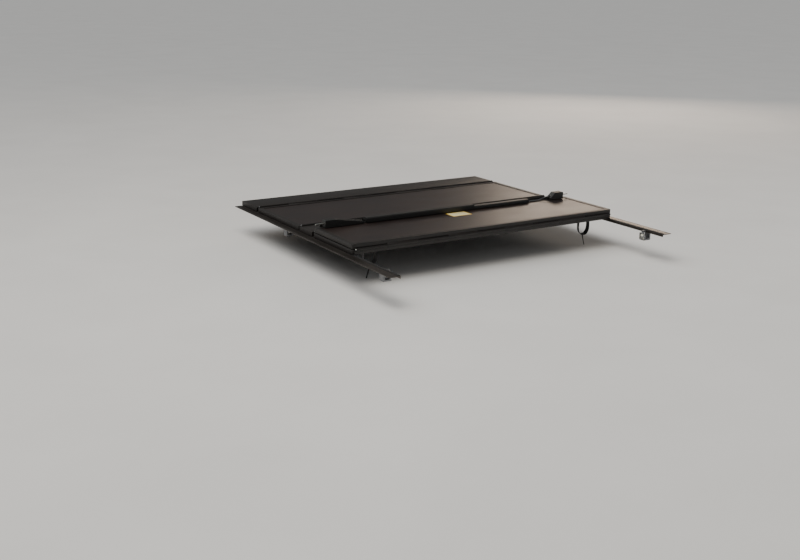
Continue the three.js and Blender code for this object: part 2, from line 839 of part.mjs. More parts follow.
const rearPanel = new THREE.Group();
rearPanel.rotation.x = Math.PI;
rearPanel.position.set(0, 2 * rearHinge, 2 * hingeZ);
buildRearPanel(rearPanel);
cover.add(rearPanel);

export default cover;
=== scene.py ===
import json
import math

import bmesh
import bpy
import numpy as np
from mathutils import Matrix, Vector


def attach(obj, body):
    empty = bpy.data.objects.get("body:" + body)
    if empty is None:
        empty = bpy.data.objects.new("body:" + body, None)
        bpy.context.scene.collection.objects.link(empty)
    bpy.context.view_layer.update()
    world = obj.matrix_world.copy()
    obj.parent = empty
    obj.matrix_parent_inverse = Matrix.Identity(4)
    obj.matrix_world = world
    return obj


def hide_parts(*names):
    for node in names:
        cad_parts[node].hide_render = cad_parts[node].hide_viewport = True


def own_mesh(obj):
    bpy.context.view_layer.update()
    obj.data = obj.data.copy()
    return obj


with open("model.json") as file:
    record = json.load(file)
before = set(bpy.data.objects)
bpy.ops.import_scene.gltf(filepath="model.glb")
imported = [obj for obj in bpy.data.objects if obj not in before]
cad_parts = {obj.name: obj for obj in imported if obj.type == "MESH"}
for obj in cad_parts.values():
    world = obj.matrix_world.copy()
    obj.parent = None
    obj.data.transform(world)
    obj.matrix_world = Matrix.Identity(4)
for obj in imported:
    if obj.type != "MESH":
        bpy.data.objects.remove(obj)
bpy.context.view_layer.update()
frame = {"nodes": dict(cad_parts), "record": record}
nodes = frame["nodes"]

# A folding bed cover. Its rear panel is folded onto its middle panel, and its front panel lies flat.
# Metres. +X is to the right seen from the tailgate, +Y toward the cab, +Z up.

MM = 0.001
TAU = 2 * math.pi

# ---- sizes in metres, as the frame has them ----

GAP = 0.3 * MM
HALF = 815 * MM                  # half of a panel's width
UNDER = 5.5 * MM                 # a closed panel's underside
TOP = 29.5 * MM
HINGE_Z = 31.5 * MM
HINGE_STEP = 7 * MM              # from a panel's edge to its hinge axis
HEADER = (-99.5 * MM, 99.5 * MM)
FRONT = (-619.5 * MM, -113.5 * MM)
SPACER = (-771.5 * MM, -633.5 * MM)
MIDDLE = (-1193.5 * MM, -785.5 * MM)
REAR = (-1607.5 * MM, -1207.5 * MM)
REAR_HINGE = -1200.5 * MM
RAIL_INNER = 800 * MM
RAIL_OUTER = 860 * MM
RAIL_TOP = 3 * MM
LIP = 10 * MM
LABEL_LENGTH = 122 * MM
LABEL_WIDTH = 80 * MM
FLOOR_Z = -0.150

# ---- the camera ----

CAMERA_PLACE = Vector((-3.272, -5.5895, 1.3295))
CAMERA_TURN = math.radians(-31.79)      # round Z, from looking along +Y
CAMERA_TILT = math.radians(16.02)       # downward
CAMERA_ROLL = math.radians(0.66)
CAMERA_LENS = 49.17                     # millimetres, on the sensor width below
CAMERA_SENSOR = 36
CAMERA_REACH = 200                      # how far it sees, past the floor's far edge


def aim_camera():
    """Sets the camera from its turn round Z, its tilt down and its roll."""
    a, e, r = CAMERA_TURN, CAMERA_TILT, CAMERA_ROLL
    back = Vector((math.sin(a) * math.cos(e), -math.cos(a) * math.cos(e), math.sin(e)))
    right = (-back).cross(Vector((0, 0, 1))).normalized()
    up = right.cross(-back).normalized()
    across = right * math.cos(r) + up * math.sin(r)
    upward = up * math.cos(r) - right * math.sin(r)
    data = bpy.data.cameras.new("camera")
    data.lens = CAMERA_LENS
    data.sensor_width = CAMERA_SENSOR
    data.clip_end = CAMERA_REACH
    camera = bpy.data.objects.new("camera", data)
    camera.matrix_world = Matrix.Translation(CAMERA_PLACE) @ Matrix(
        (across, upward, back)).transposed().to_4x4()
    bpy.context.scene.collection.objects.link(camera)
    bpy.context.scene.camera = camera


aim_camera()

# ---- materials ----


def linear(code):
    """An sRGB hex colour as linear red, green, blue and alpha."""
    parts = [int(code[i:i + 2], 16) / 255 for i in (1, 3, 5)]
    return tuple(c / 12.92 if c <= 0.04045 else ((c + 0.055) / 1.055) ** 2.4 for c in parts) + (1,)


def node(tree, kind, settings=None, **inputs):
    """Adds a node. settings are its own properties. inputs are values for its sockets or sockets to link to
    them, by name, or by place as i0, i1 and so on."""
    made = tree.nodes.new(kind)
    for key, value in (settings or {}).items():
        setattr(made, key, value)
    for key, value in inputs.items():
        socket = made.inputs[int(key[1:])] if key[0] == "i" and key[1:].isdigit() else made.inputs[
            key.replace("_", " ")]
        if isinstance(value, bpy.types.NodeSocket):
            tree.links.new(value, socket)
        else:
            socket.default_value = value
    return made


def ramp(tree, factor, low, high, dark, light):
    """A colour ramp from one colour to another between two values of its factor."""
    made = node(tree, "ShaderNodeValToRGB", Fac=factor)
    first, last = made.color_ramp.elements
    first.position, last.position = low, high
    first.color, last.color = dark, light
    return made.outputs["Color"]


def scaled(tree, low, high, factor):
    """Maps a 0..1 value onto low..high."""
    made = node(tree, "ShaderNodeMapRange", Value=factor, To_Min=low, To_Max=high)
    return made.outputs["Result"]


def coloured(tree, shader, factor, low, high, dark, light):
    """Links a colour ramp between two hex colours to the base colour."""
    colour = ramp(tree, factor, low, high, linear(dark), linear(light))
    tree.links.new(colour, shader.inputs["Base Color"])


def roughened(tree, shader, low, high, factor):
    """Links a value mapped onto low..high to the roughness."""
    tree.links.new(scaled(tree, low, high, factor), shader.inputs["Roughness"])


def bumped(tree, shader, strength, distance, height):
    """Links a bump to the normal. The height runs from 0 to 1 over the distance, which is in metres."""
    bump = node(tree, "ShaderNodeBump", Strength=strength, Distance=distance, Height=height)
    tree.links.new(bump.outputs["Normal"], shader.inputs["Normal"])


def math_node(tree, operation, *values, **settings):
    """A Math node on two or three values or sockets."""
    inputs = {f"i{k}": value for k, value in enumerate(values)}
    return node(tree, "ShaderNodeMath", {"operation": operation, **settings}, **inputs).outputs[0]


def finish_material(name, metallic=0.0, **constants):
    """A new material with its Principled shader, its tree and its Object coordinates."""
    material = bpy.data.materials.new(name)
    material.use_nodes = True
    tree = material.node_tree
    shader = tree.nodes["Principled BSDF"]
    shader.inputs["Metallic"].default_value = metallic
    for key, value in constants.items():
        shader.inputs[key.replace("_", " ")].default_value = value
    place = node(tree, "ShaderNodeTexCoord").outputs["Object"]
    return material, tree, shader, place


def stretched(tree, place, x, y, z):
    """Object coordinates scaled apart on each axis, for grain that runs one way."""
    return node(tree, "ShaderNodeMapping", Vector=place, Scale=(x, y, z)).outputs["Vector"]


def noise(tree, place, scale, detail=4.0, roughness=0.55):
    """Noise whose features are about 1 / scale metres across."""
    return node(tree, "ShaderNodeTexNoise", Vector=place, Scale=scale, Detail=detail,
                Roughness=roughness).outputs["Fac"]


def powder_coat_textured():
    """Textured black powder coat on aluminium sheet. The wrinkles of the coat are about 1.5 mm wide, so it
    scatters reflections into a soft satin sheen; a warm brown-black, with faint handling marks."""
    material, tree, shader, place = finish_material("textured_powder_coat_on_aluminium_sheet", IOR=1.5)
    grain = node(tree, "ShaderNodeTexVoronoi", {"feature": "SMOOTH_F1"}, Vector=place, Scale=650.0,
                 Smoothness=0.6).outputs["Distance"]
    fine = noise(tree, place, 1400.0, 3.0)
    smear = noise(tree, stretched(tree, place, 5.0, 9.0, 5.0), 1.0, 5.0, 0.6)
    coloured(tree, shader, smear, 0.3, 0.75, "#1d1614", "#2a1f1b")
    roughened(tree, shader, 0.33, 0.47, smear)
    height = math_node(tree, "MULTIPLY_ADD", fine, 0.35, grain)
    bumped(tree, shader, 0.35, 0.12 * MM, height)
    return material


def powder_coat_black(name, die_lines):
    """Smooth black powder coat on extruded aluminium: near black and faintly warm, with a fine orange peel
    about 2 mm across. Die lines run under the coat along X or Y, whichever is asked for."""
    material, tree, shader, place = finish_material(name, IOR=1.5)
    peel = noise(tree, place, 420.0, 2.0)
    slow, fast = 4.0, 500.0
    grain = (slow, fast, fast) if die_lines == "x" else (fast, slow, fast)
    lines = noise(tree, stretched(tree, place, *grain), 1.0, 2.0)
    cloud = noise(tree, place, 9.0, 4.0)
    coloured(tree, shader, cloud, 0.3, 0.75, "#14110f", "#1f1a17")
    roughened(tree, shader, 0.4, 0.55, lines)
    height = math_node(tree, "MULTIPLY_ADD", lines, 0.5, peel)
    bumped(tree, shader, 0.25, 0.1 * MM, height)
    return material


def anodised_satin():
    """Black anodised extruded aluminium: a grey-brown metal. Die lines along its length smear the light."""
    material, tree, shader, place = finish_material("satin_black_anodised_aluminium", metallic=1.0)
    lines = noise(tree, stretched(tree, place, 700.0, 2.5, 700.0), 1.0, 3.0)
    cloud = noise(tree, place, 6.0, 4.0)
    coloured(tree, shader, cloud, 0.25, 0.8, "#4a4541", "#625c57")
    roughened(tree, shader, 0.3, 0.5, lines)
    bumped(tree, shader, 0.2, 0.06 * MM, lines)
    return material


def moulded_plastic():
    """Glass-filled nylon, moulded in a spark-eroded tool: black and dull with a sandy grain. The grain is
    drawn about 0.8 mm across, coarser than the real 0.1 mm, which would not show."""
    material, tree, shader, place = finish_material("moulded_glass_filled_nylon", IOR=1.53)
    sand = noise(tree, place, 1200.0, 2.0)
    flow = noise(tree, stretched(tree, place, 6.0, 30.0, 30.0), 1.0, 4.0)
    coloured(tree, shader, flow, 0.3, 0.8, "#0d0d0c", "#181816")
    roughened(tree, shader, 0.42, 0.6, flow)
    bumped(tree, shader, 0.4, 0.1 * MM, sand)
    return material


def extruded_rubber():
    """Extruded EPDM rubber: matt black with a bloom of grey dust and a grit about 1 mm across, drawn coarser
    than the real skin so that it shows."""
    material, tree, shader, place = finish_material("extruded_epdm_rubber", IOR=1.52)
    dust = noise(tree, place, 45.0, 6.0, 0.65)
    grit = noise(tree, place, 900.0, 2.0)
    coloured(tree, shader, dust, 0.4, 0.85, "#0e0e0e", "#262523")
    roughened(tree, shader, 0.7, 0.92, dust)
    bumped(tree, shader, 0.3, 0.12 * MM, grit)
    return material


def zinc_plate():
    """Bright zinc plate on steel: a cool silver with pale gold passivate clouds a few millimetres across."""
    material, tree, shader, place = finish_material("bright_zinc_plated_steel", metallic=1.0)
    cloud = noise(tree, place, 120.0, 4.0)
    coloured(tree, shader, cloud, 0.35, 0.7, "#c7ccd2", "#dcd7c2")
    roughened(tree, shader, 0.14, 0.34, noise(tree, place, 260.0, 3.0))
    bumped(tree, shader, 0.15, 0.05 * MM, cloud)
    return material


def cast_aluminium():
    """Sand-cast aluminium: a dull grey skin, pitted by sand grains about 1 mm across."""
    material, tree, shader, place = finish_material("sand_cast_aluminium", metallic=1.0)
    sand = noise(tree, place, 700.0, 4.0, 0.7)
    stain = noise(tree, place, 40.0, 4.0)
    coloured(tree, shader, stain, 0.3, 0.75, "#6f7072", "#97989a")
    roughened(tree, shader, 0.42, 0.66, stain)
    bumped(tree, shader, 0.5, 0.2 * MM, sand)
    return material


def drawn_steel():
    """Cold-drawn steel: mid grey metal with fine draw marks along X and Y and an uneven, oily gloss."""
    material, tree, shader, place = finish_material("cold_drawn_steel", metallic=1.0)
    marks = noise(tree, stretched(tree, place, 12.0, 12.0, 900.0), 1.0, 3.0)
    oil = noise(tree, place, 60.0, 3.0)
    coloured(tree, shader, oil, 0.3, 0.75, "#8b8e91", "#a9abad")
    roughened(tree, shader, 0.22, 0.42, marks)
    bumped(tree, shader, 0.15, 0.05 * MM, marks)
    return material


def rigid_foam():
    """Cut polystyrene foam: a pale tan, dull face of beads 3 mm across."""
    material, tree, shader, place = finish_material("cut_polystyrene_foam", Roughness=0.95, IOR=1.3)
    beads = node(tree, "ShaderNodeTexVoronoi", Vector=place, Scale=330.0).outputs["Distance"]
    coloured(tree, shader, beads, 0.0, 0.6, "#a9a18c", "#8a8370")
    bumped(tree, shader, 0.4, 0.4 * MM, beads)
    return material


def woven_webbing():
    """Woven polyester webbing, dyed black: ribs 2 mm apart crossed by a diagonal of 3 mm, coarser than the
    real weave so that it shows. They follow the strap's own UV map, in units of 1 mm. The yarn has a soft
    sheen."""
    material, tree, shader = finish_material(
        "woven_polyester_webbing", Roughness=0.8, IOR=1.5, Sheen_Weight=0.35, Sheen_Roughness=0.5)[:3]
    along = node(tree, "ShaderNodeUVMap", {"uv_map": "strap"}).outputs["UV"]
    rows = node(tree, "ShaderNodeTexWave", {"bands_direction": "X"}, Vector=along, Scale=0.16).outputs["Fac"]
    weft = node(tree, "ShaderNodeTexWave", {"bands_direction": "DIAGONAL"}, Vector=along,
                Scale=0.2).outputs["Fac"]
    weave = math_node(tree, "MULTIPLY", rows, weft)
    coloured(tree, shader, weave, 0.1, 0.9, "#0a0a0a", "#201f1e")
    bumped(tree, shader, 0.7, 0.5 * MM, weave)
    return material


def printed_vinyl():
    """Calendered vinyl label, printed cream with a yellow border 6 mm wide and pale grey rules. The UV map
    runs from the label's near left corner in units of 1 mm."""
    material, tree, shader, place = finish_material("calendered_vinyl_label", IOR=1.53)
    along = node(tree, "ShaderNodeUVMap", {"uv_map": "label"}).outputs["UV"]
    split = node(tree, "ShaderNodeSeparateXYZ", Vector=along)
    x, y = split.outputs["X"], split.outputs["Y"]

    def beyond(value, size, margin):
        """1 within a margin of either end of 0..size."""
        centred = math_node(tree, "SUBTRACT", value, size / 2)
        away = math_node(tree, "ABSOLUTE", centred)
        return math_node(tree, "GREATER_THAN", away, size / 2 - margin)

    long, wide = LABEL_LENGTH / MM, LABEL_WIDTH / MM
    border = math_node(tree, "MAXIMUM", beyond(x, long, 6.0), beyond(y, wide, 6.0))
    inset = math_node(tree, "MAXIMUM", beyond(x, long, 16.0), beyond(y, wide, 13.0))
    rule = math_node(tree, "LESS_THAN", math_node(tree, "PINGPONG", y, 6.0), 1.2)
    rule = math_node(tree, "SUBTRACT", rule, inset, use_clamp=True)
    paper = ramp(tree, noise(tree, place, 40.0, 3.0), 0.3, 0.8, linear("#efe0a4"), linear("#f7ebbd"))
    ruled = node(tree, "ShaderNodeMix", {"data_type": "RGBA"}, i0=rule, i6=paper,
                 i7=linear("#b9ad8b")).outputs[2]
    colour = node(tree, "ShaderNodeMix", {"data_type": "RGBA"}, i0=border, i6=ruled,
                  i7=linear("#d8ab1c")).outputs[2]
    tree.links.new(colour, shader.inputs["Base Color"])
    roughened(tree, shader, 0.35, 0.5, noise(tree, place, 90.0, 3.0))
    return material


TEXTURED = powder_coat_textured()
COAT_X = powder_coat_black("black_powder_coat_on_cross_extrusion", "x")
COAT_Y = powder_coat_black("black_powder_coat_on_side_extrusion", "y")
ANODISED = anodised_satin()
PLASTIC = moulded_plastic()
RUBBER = extruded_rubber()
ZINC = zinc_plate()
CAST = cast_aluminium()
STEEL = drawn_steel()
FOAM = rigid_foam()
WEBBING = woven_webbing()
VINYL = printed_vinyl()

SLOT_MATERIAL = {
    "textured_skin": TEXTURED,
    "foam_core": FOAM,
    "black_aluminium": COAT_X,
    "satin_aluminium": ANODISED,
    "black_plastic": PLASTIC,
    "rubber": RUBBER,
    "zinc": ZINC,
    "cast_aluminium": CAST,
    "steel": STEEL,
    "webbing": WEBBING,
}

# ---- making meshes from grids ----


def mesh_from(name, points, quads, caps=()):
    """A mesh object from an array of points, an array of quads and a few many-sided end faces."""
    mesh = bpy.data.meshes.new(name)
    mesh.from_pydata(points.tolist(), [], quads.tolist() + [list(map(int, c)) for c in caps])
    mesh.validate()
    made = bpy.data.objects.new(name, mesh)
    bpy.context.scene.collection.objects.link(made)
    return made


def face_out(made):
    """Merges doubled points, drops faces without area and turns every face outward."""
    work = bmesh.new()
    work.from_mesh(made.data)
    bmesh.ops.remove_doubles(work, verts=work.verts, dist=1e-6)
    bmesh.ops.dissolve_degenerate(work, edges=work.edges, dist=1e-6)
    bmesh.ops.recalc_face_normals(work, faces=work.faces)
    work.to_mesh(made.data)
    work.free()


def smooth(made, angle=35):
    """Smooth shading that breaks at edges sharper than the angle in degrees."""
    made.data.shade_smooth()
    made.data.set_sharp_from_angle(angle=math.radians(angle))
    return made


def eased(made, width, segments=2, angle=40):
    """A bevel of real width on every edge sharper than the angle."""
    bevel = made.modifiers.new("eased_edges", "BEVEL")
    bevel.width = width
    bevel.segments = segments
    bevel.limit_method = "ANGLE"
    bevel.angle_limit = math.radians(angle)
    bevel.harden_normals = True
    return made


def rings(name, grid, capped=True, closed=False, recalc=True):
    """A closed surface from rings of points. grid[i, j] is point j of ring i. Neighbouring rings are joined
    by quads and each ring closes on itself. Each end is a flat face, unless the rings close in a loop."""
    count, around = grid.shape[:2]
    index = np.arange(count * around).reshape(count, around)
    here = index if closed else index[:-1]
    there = np.roll(index, -1, 0) if closed else index[1:]
    quads = np.stack([here, np.roll(here, -1, 1), np.roll(there, -1, 1), there], -1).reshape(-1, 4)
    caps = [] if closed or not capped else [index[0][::-1], index[-1]]
    made = mesh_from(name, grid.reshape(-1, 3), quads, caps)
    if recalc:
        face_out(made)
    return made


def join_meshes(name, pieces):
    """One object that holds the meshes of several."""
    work = bmesh.new()
    for piece in pieces:
        work.from_mesh(piece.data)
        bpy.data.objects.remove(piece)
    mesh = bpy.data.meshes.new(name)
    work.to_mesh(mesh)
    work.free()
    made = bpy.data.objects.new(name, mesh)
    bpy.context.scene.collection.objects.link(made)
    return made


def rounded(points, radii, steps=4):
    """A closed outline whose corner k is an arc of radius radii[k], tangent to its two sides. The arc's
    centre lies on the corner's bisector, radius / sin(half angle) from the corner."""
    points = np.asarray(points, float)
    radii = np.broadcast_to(radii, len(points))
    out = []
    for k, corner in enumerate(points):
        if radii[k] <= 0:
            out.append(corner[None])
            continue
        before = points[k - 1] - corner
        after = points[(k + 1) % len(points)] - corner
        before /= np.linalg.norm(before)
        after /= np.linalg.norm(after)
        half = math.acos(np.clip(before @ after, -1, 1)) / 2
        reach = radii[k] / math.tan(half)
        middle = before + after
        centre = corner + middle / np.linalg.norm(middle) * radii[k] / math.sin(half)
        start, end = corner + before * reach - centre, corner + after * reach - centre
        sweep = math.atan2(start[0] * end[1] - start[1] * end[0], start @ end)
        angle = sweep * np.linspace(0, 1, steps + 1)
        c, s = np.cos(angle), np.sin(angle)
        out.append(centre + np.stack([start[0] * c - start[1] * s, start[0] * s + start[1] * c], -1))
    return np.concatenate(out)


def carried_x(name, section, stations):
    """A (y, z) section carried along X: ring i is the section at x = stations[i]."""
    section = np.asarray(section)
    grid = np.empty((len(stations), len(section), 3))
    grid[..., 0] = np.asarray(stations)[:, None]
    grid[..., 1:] = section
    return rings(name, grid)


def carried_y(name, section, stations):
    """An (x, z) section carried along Y: ring i is the section at y = stations[i]."""
    section = np.asarray(section)
    grid = np.empty((len(stations), len(section), 3))
    grid[..., 0] = section[:, 0]
    grid[..., 2] = section[:, 1]
    grid[..., 1] = np.asarray(stations)[:, None]
    return rings(name, grid)


def lathed_x(name, profile, y, z, sides=32):
    """A profile of (x, radius) turned about an axis along X through (y, z). A radius of zero closes to a
    point."""
    profile = np.asarray(profile, float)
    angle = np.linspace(0, TAU, sides, endpoint=False)
    grid = np.empty((len(profile), sides, 3))
    grid[..., 0] = profile[:, :1]
    grid[..., 1] = y + profile[:, 1:] * np.cos(angle)
    grid[..., 2] = z + profile[:, 1:] * np.sin(angle)
    return rings(name, grid, capped=profile[0, 1] > 0)


def folded(points):
    """Turns closed-panel points half a turn about the rear hinge: y and z go to the far side of its axis."""
    points = np.array(points, float)
    points[..., 1] = 2 * REAR_HINGE - points[..., 1]
    points[..., 2] = 2 * HINGE_Z - points[..., 2]
    return points


def fold_mesh(made):
    """Folds a finished mesh of the rear panel over onto the middle panel."""
    co = np.empty(len(made.data.vertices) * 3)
    made.data.vertices.foreach_get("co", co)
    made.data.vertices.foreach_set("co", folded(co.reshape(-1, 3)).ravel())
    made.data.update()
    return made


def placed(made, body, material, *replaced, slot=None, angle=35):
    """Gives a piece its material and its body, shades it smooth and hides the frame nodes that it stands for.
    The slot is not used.
    """
    made.data.materials.clear()
    made.data.materials.append(material)
    smooth(made, angle)
    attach(made, body)
    if replaced:
        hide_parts(*replaced)
    return made


def mirrored_x(section):
    """The mirror image of an (x, z) or (x, y, z) array in X."""
    image = np.array(section, float)
    image[..., 0] *= -1
    return image


def from_frame(name, width, angle=30):
    """A copy of a frame node with its loose faces merged, its flat faces made whole and its edges eased."""
    made = bpy.data.objects.new(name + "_eased", nodes[name].data.copy())
    bpy.context.scene.collection.objects.link(made)
    work = bmesh.new()
    work.from_mesh(made.data)
    bmesh.ops.remove_doubles(work, verts=work.verts, dist=1e-5)
    bmesh.ops.dissolve_limit(work, angle_limit=math.radians(1), verts=work.verts, edges=work.edges)
    work.to_mesh(made.data)
    work.free()
    return eased(made, width, 2, angle)


# ---- panels ----

SKIN = 1.5 * MM
LIP_THICKNESS = 2 * MM
RAIL_WALL = 5 * MM
FRAME_WALL = 3 * MM
FRAME_WIDTH = 26 * MM
SLOT = (UNDER + LIP_THICKNESS, TOP - LIP_THICKNESS)
BOTTOM_SKIN = UNDER + LIP_THICKNESS + GAP
TOP_SKIN = TOP - LIP_THICKNESS - GAP - SKIN


def skin(name, span, low, seed):
    """A sheet 1.5 mm thick: a (y, z) loop carried along X. Its faces are lifted by two crossed sine waves of
    0.1 and 0.06 mm that fall to zero at the sheet's edges, as rolled sheet lies in a frame."""
    half = HALF - 9 * MM
    y0, y1 = span[0] + 6 * MM, span[1] - 6 * MM
    xs = np.linspace(-half, half, 97)
    across = np.linspace(0, 1, 33)
    y = y0 + (y1 - y0) * across
    u = (xs + half) / (2 * half)
    wave = 0.1 * MM * np.sin(5 * math.pi * u + seed)[:, None] * np.sin(2 * math.pi * across + seed)
    wave += 0.06 * MM * np.sin(9 * math.pi * u)[:, None] * np.sin(3 * math.pi * across + 2 * seed)
    wave *= (np.sin(math.pi * u) ** 0.3)[:, None] * np.sin(math.pi * across) ** 0.3
    grid_x, grid_y = np.broadcast_arrays(xs[:, None], y)
    lower = np.stack([grid_x, grid_y, low + wave], -1)
    upper = lower + np.array([0, 0, SKIN])
    return rings(name, np.concatenate([lower, upper[:, ::-1]], 1))


def side_section():
    """The C-shaped section of a side frame, right side: lips 26 mm wide and 2 mm thick on a 3 mm wall."""
    outer, inner, wall = HALF, HALF - FRAME_WIDTH, HALF - FRAME_WALL
    corners = [(outer, UNDER), (outer, TOP), (inner, TOP), (inner, SLOT[1]), (wall, SLOT[1]), (wall, SLOT[0]),
               (inner, SLOT[0]), (inner, UNDER)]
    return rounded(corners, np.array([1.5, 1.5, 0.7, 0.4, 0.8, 0.8, 0.4, 0.7]) * MM, 3)


def edge_rail(name, edge, outward):
    """The rail along a panel's front or rear edge: a C-shaped (y, z) loop carried along X. Within a corner
    radius of either end the outer face draws in by r - sqrt(r^2 - d^2), and past its ends the slot closes."""
    radius = 12 * MM
    slot_end = HALF - RAIL_WALL
    deep = FRAME_WIDTH - RAIL_WALL
    third = (SLOT[1] - SLOT[0]) / 3
    turn = np.linspace(0, math.pi / 2, 9)
    corner = HALF - radius + radius * np.sin(turn)
    near = corner[corner < slot_end - 0.2 * MM]
    past = corner[corner > slot_end + 0.2 * MM]
    right = np.concatenate([np.linspace(0.05, slot_end * 0.97, 12), near, [slot_end, slot_end], past])
    slotted = np.concatenate([np.ones(12 + len(near) + 1), np.zeros(1 + len(past))])
    xs = np.concatenate([-right[::-1], right])
    slotted = np.concatenate([slotted[::-1], slotted])
    over = np.maximum(np.abs(xs) - (HALF - radius), 0)
    drawn = radius - np.sqrt(np.maximum(radius ** 2 - over ** 2, 0))
    loops = []
    for draw, depth in zip(drawn, slotted):
        outer = FRAME_WIDTH - draw
        if depth:
            slot = [(0, SLOT[1]), (deep, SLOT[1]), (deep, SLOT[0]), (0, SLOT[0])]
        else:
            slot = [(0, SLOT[1]), (0, SLOT[1] - third), (0, SLOT[0] + third), (0, SLOT[0])]
        outline = [(outer, UNDER), (outer, TOP), (0, TOP)] + slot + [(0, UNDER)]
        loops.append(rounded(outline, np.array([1.5, 1.5, 0, 0, 0, 0, 0, 0]) * MM, 3))
    loops = np.array(loops)
    grid = np.empty(loops.shape[:2] + (3,))
    grid[..., 0] = xs[:, None]
    grid[..., 1] = edge - outward * FRAME_WIDTH + outward * loops[..., 0]
    grid[..., 2] = loops[..., 1]
    return rings(name, grid)


KNUCKLES = 9
KNUCKLE_MARGIN = 15 * MM
KNUCKLE_GAP = 0.6 * MM
BARREL = 6 * MM
BORE = 3.3 * MM


def knuckle_row(name, edge, outward, first):
    """Every second knuckle of a hinge. The section is a ray length for each angle about the hinge axis: the
    barrel's radius, or on the panel's side the distance to the web that joins it to the rail. It is carried
    along X with its ends drawn in 0.4 mm, and an inner loop of the bore's radius closes it into a ring."""
    span = 2 * (HALF - KNUCKLE_MARGIN)
    pitch = span / KNUCKLES
    root = HINGE_STEP + 2 * MM
    low, high = TOP - 9 * MM - HINGE_Z, TOP - 0.5 * MM - HINGE_Z
    arc = np.linspace(-math.pi / 2, math.pi, 37)
    outline = np.concatenate([
        np.stack([BARREL * np.cos(arc), BARREL * np.sin(arc)], -1),
        np.linspace((-root, high), (-root, low), 6),
        np.linspace((-root, low), (0, -BARREL), 8)[1:-1],
    ])
    if outward < 0:
        outline[:, 0] *= -1
    angle = np.arctan2(outline[:, 1], outline[:, 0])
    inner = BORE * np.stack([np.cos(angle), np.sin(angle)], -1)
    shrunk = outline * (1 - 0.4 * MM / np.linalg.norm(outline, axis=1, keepdims=True))
    axis = edge + outward * HINGE_STEP
    pieces = []
    for i in range(first, KNUCKLES, 2):
        start = -span / 2 + i * pitch + KNUCKLE_GAP / 2
        end = start + pitch - KNUCKLE_GAP
        stations = [(start, inner), (start, shrunk), (start + 0.4 * MM, outline), (end - 0.4 * MM, outline),
                    (end, shrunk), (end, inner)]
        grid = np.empty((len(stations), len(outline), 3))
        for ring, (x, loop) in zip(grid, stations):
            ring[:, 0] = x
            ring[:, 1] = axis + loop[:, 0]
            ring[:, 2] = HINGE_Z + loop[:, 1]
        pieces.append(rings(f"{name}_{i}", grid, closed=True))
    return join_meshes(name, pieces)


def hinge_pin(name, y, body, material, slot):
    """A pin turned about its hinge axis, with domed heads. Past a short rim, at a turn a from 0 to a right
    angle, the head's length grows as sin a and its radius falls as cos a to the power 0.7."""
    end = HALF - KNUCKLE_MARGIN + GAP / 2
    shank, head, rim, rise = 3 * MM, 4.6 * MM, 1.2 * MM, 1.8 * MM
    turn = np.linspace(0, math.pi / 2, 7)[:-1]
    dome = [(end + rim + rise * math.sin(a), head * math.cos(a) ** 0.7) for a in turn]
    right = [(end, shank), (end, head)] + dome + [(end + rim + rise, 0)]
    left = [(-x, r) for x, r in reversed(right)]
    made = lathed_x(name + "_turned", left + right, y, HINGE_Z)
    placed(made, body, material, name, slot=slot, angle=50)


def build_panel(name, span, body, rear_name, rear_first, front_first, seed, turned=False):
    """A sandwich panel: two skins, two side frames and two edge rails, each rail with its knuckles."""
    last = fold_mesh if turned else (lambda made: made)
    for which, low in (("top", TOP_SKIN), ("bottom", BOTTOM_SKIN)):
        made = last(skin(f"{name}_{which}_sheet", span, low, seed + (which == "top")))
        placed(made, body, TEXTURED, f"{name}_{which}_skin", slot="textured_skin", angle=60)
    stations = np.linspace(span[0] + FRAME_WIDTH + GAP, span[1] - FRAME_WIDTH - GAP, 12)
    for side, section in (("right", side_section()), ("left", mirrored_x(side_section()))):
        made = last(carried_y(f"{name}_side_{side}", section, stations))
        placed(made, body, COAT_Y, f"{name}_frame_{side}", slot="black_aluminium")
    for rail, edge, outward, first in ((rear_name, span[0], -1, rear_first), ("front_hinge_rail", span[1], 1,
                                                                              front_first)):
        made = last(edge_rail(f"{name}_{rail}_extrusion", edge, outward))
        placed(made, body, COAT_X, f"{name}_{rail}", slot="black_aluminium")
        if first is not None:
            made = last(knuckle_row(f"{name}_{rail}_knuckles", edge, outward, first))
            placed(made, body, COAT_X, slot="black_aluminium")


build_panel("front_panel", FRONT, "front_panel", "rear_hinge_rail", 0, 1, 0.4)
build_panel("middle_panel", MIDDLE, "middle_panel", "rear_hinge_rail", 0, 1, 1.7)
build_panel("rear_panel", REAR, "rear_panel", "tail_rail", None, 1, 2.9, turned=True)

hinge_pin("header_hinge_pin", HEADER[0] - HINGE_STEP, "root", STEEL, "steel")
hinge_pin("front_panel_hinge_pin", FRONT[0] - HINGE_STEP, "front_panel", STEEL, "steel")
hinge_pin("spacer_hinge_pin", SPACER[0] - HINGE_STEP, "spacer", STEEL, "steel")
hinge_pin("middle_panel_hinge_pin", REAR_HINGE, "middle_panel", ZINC, "zinc")


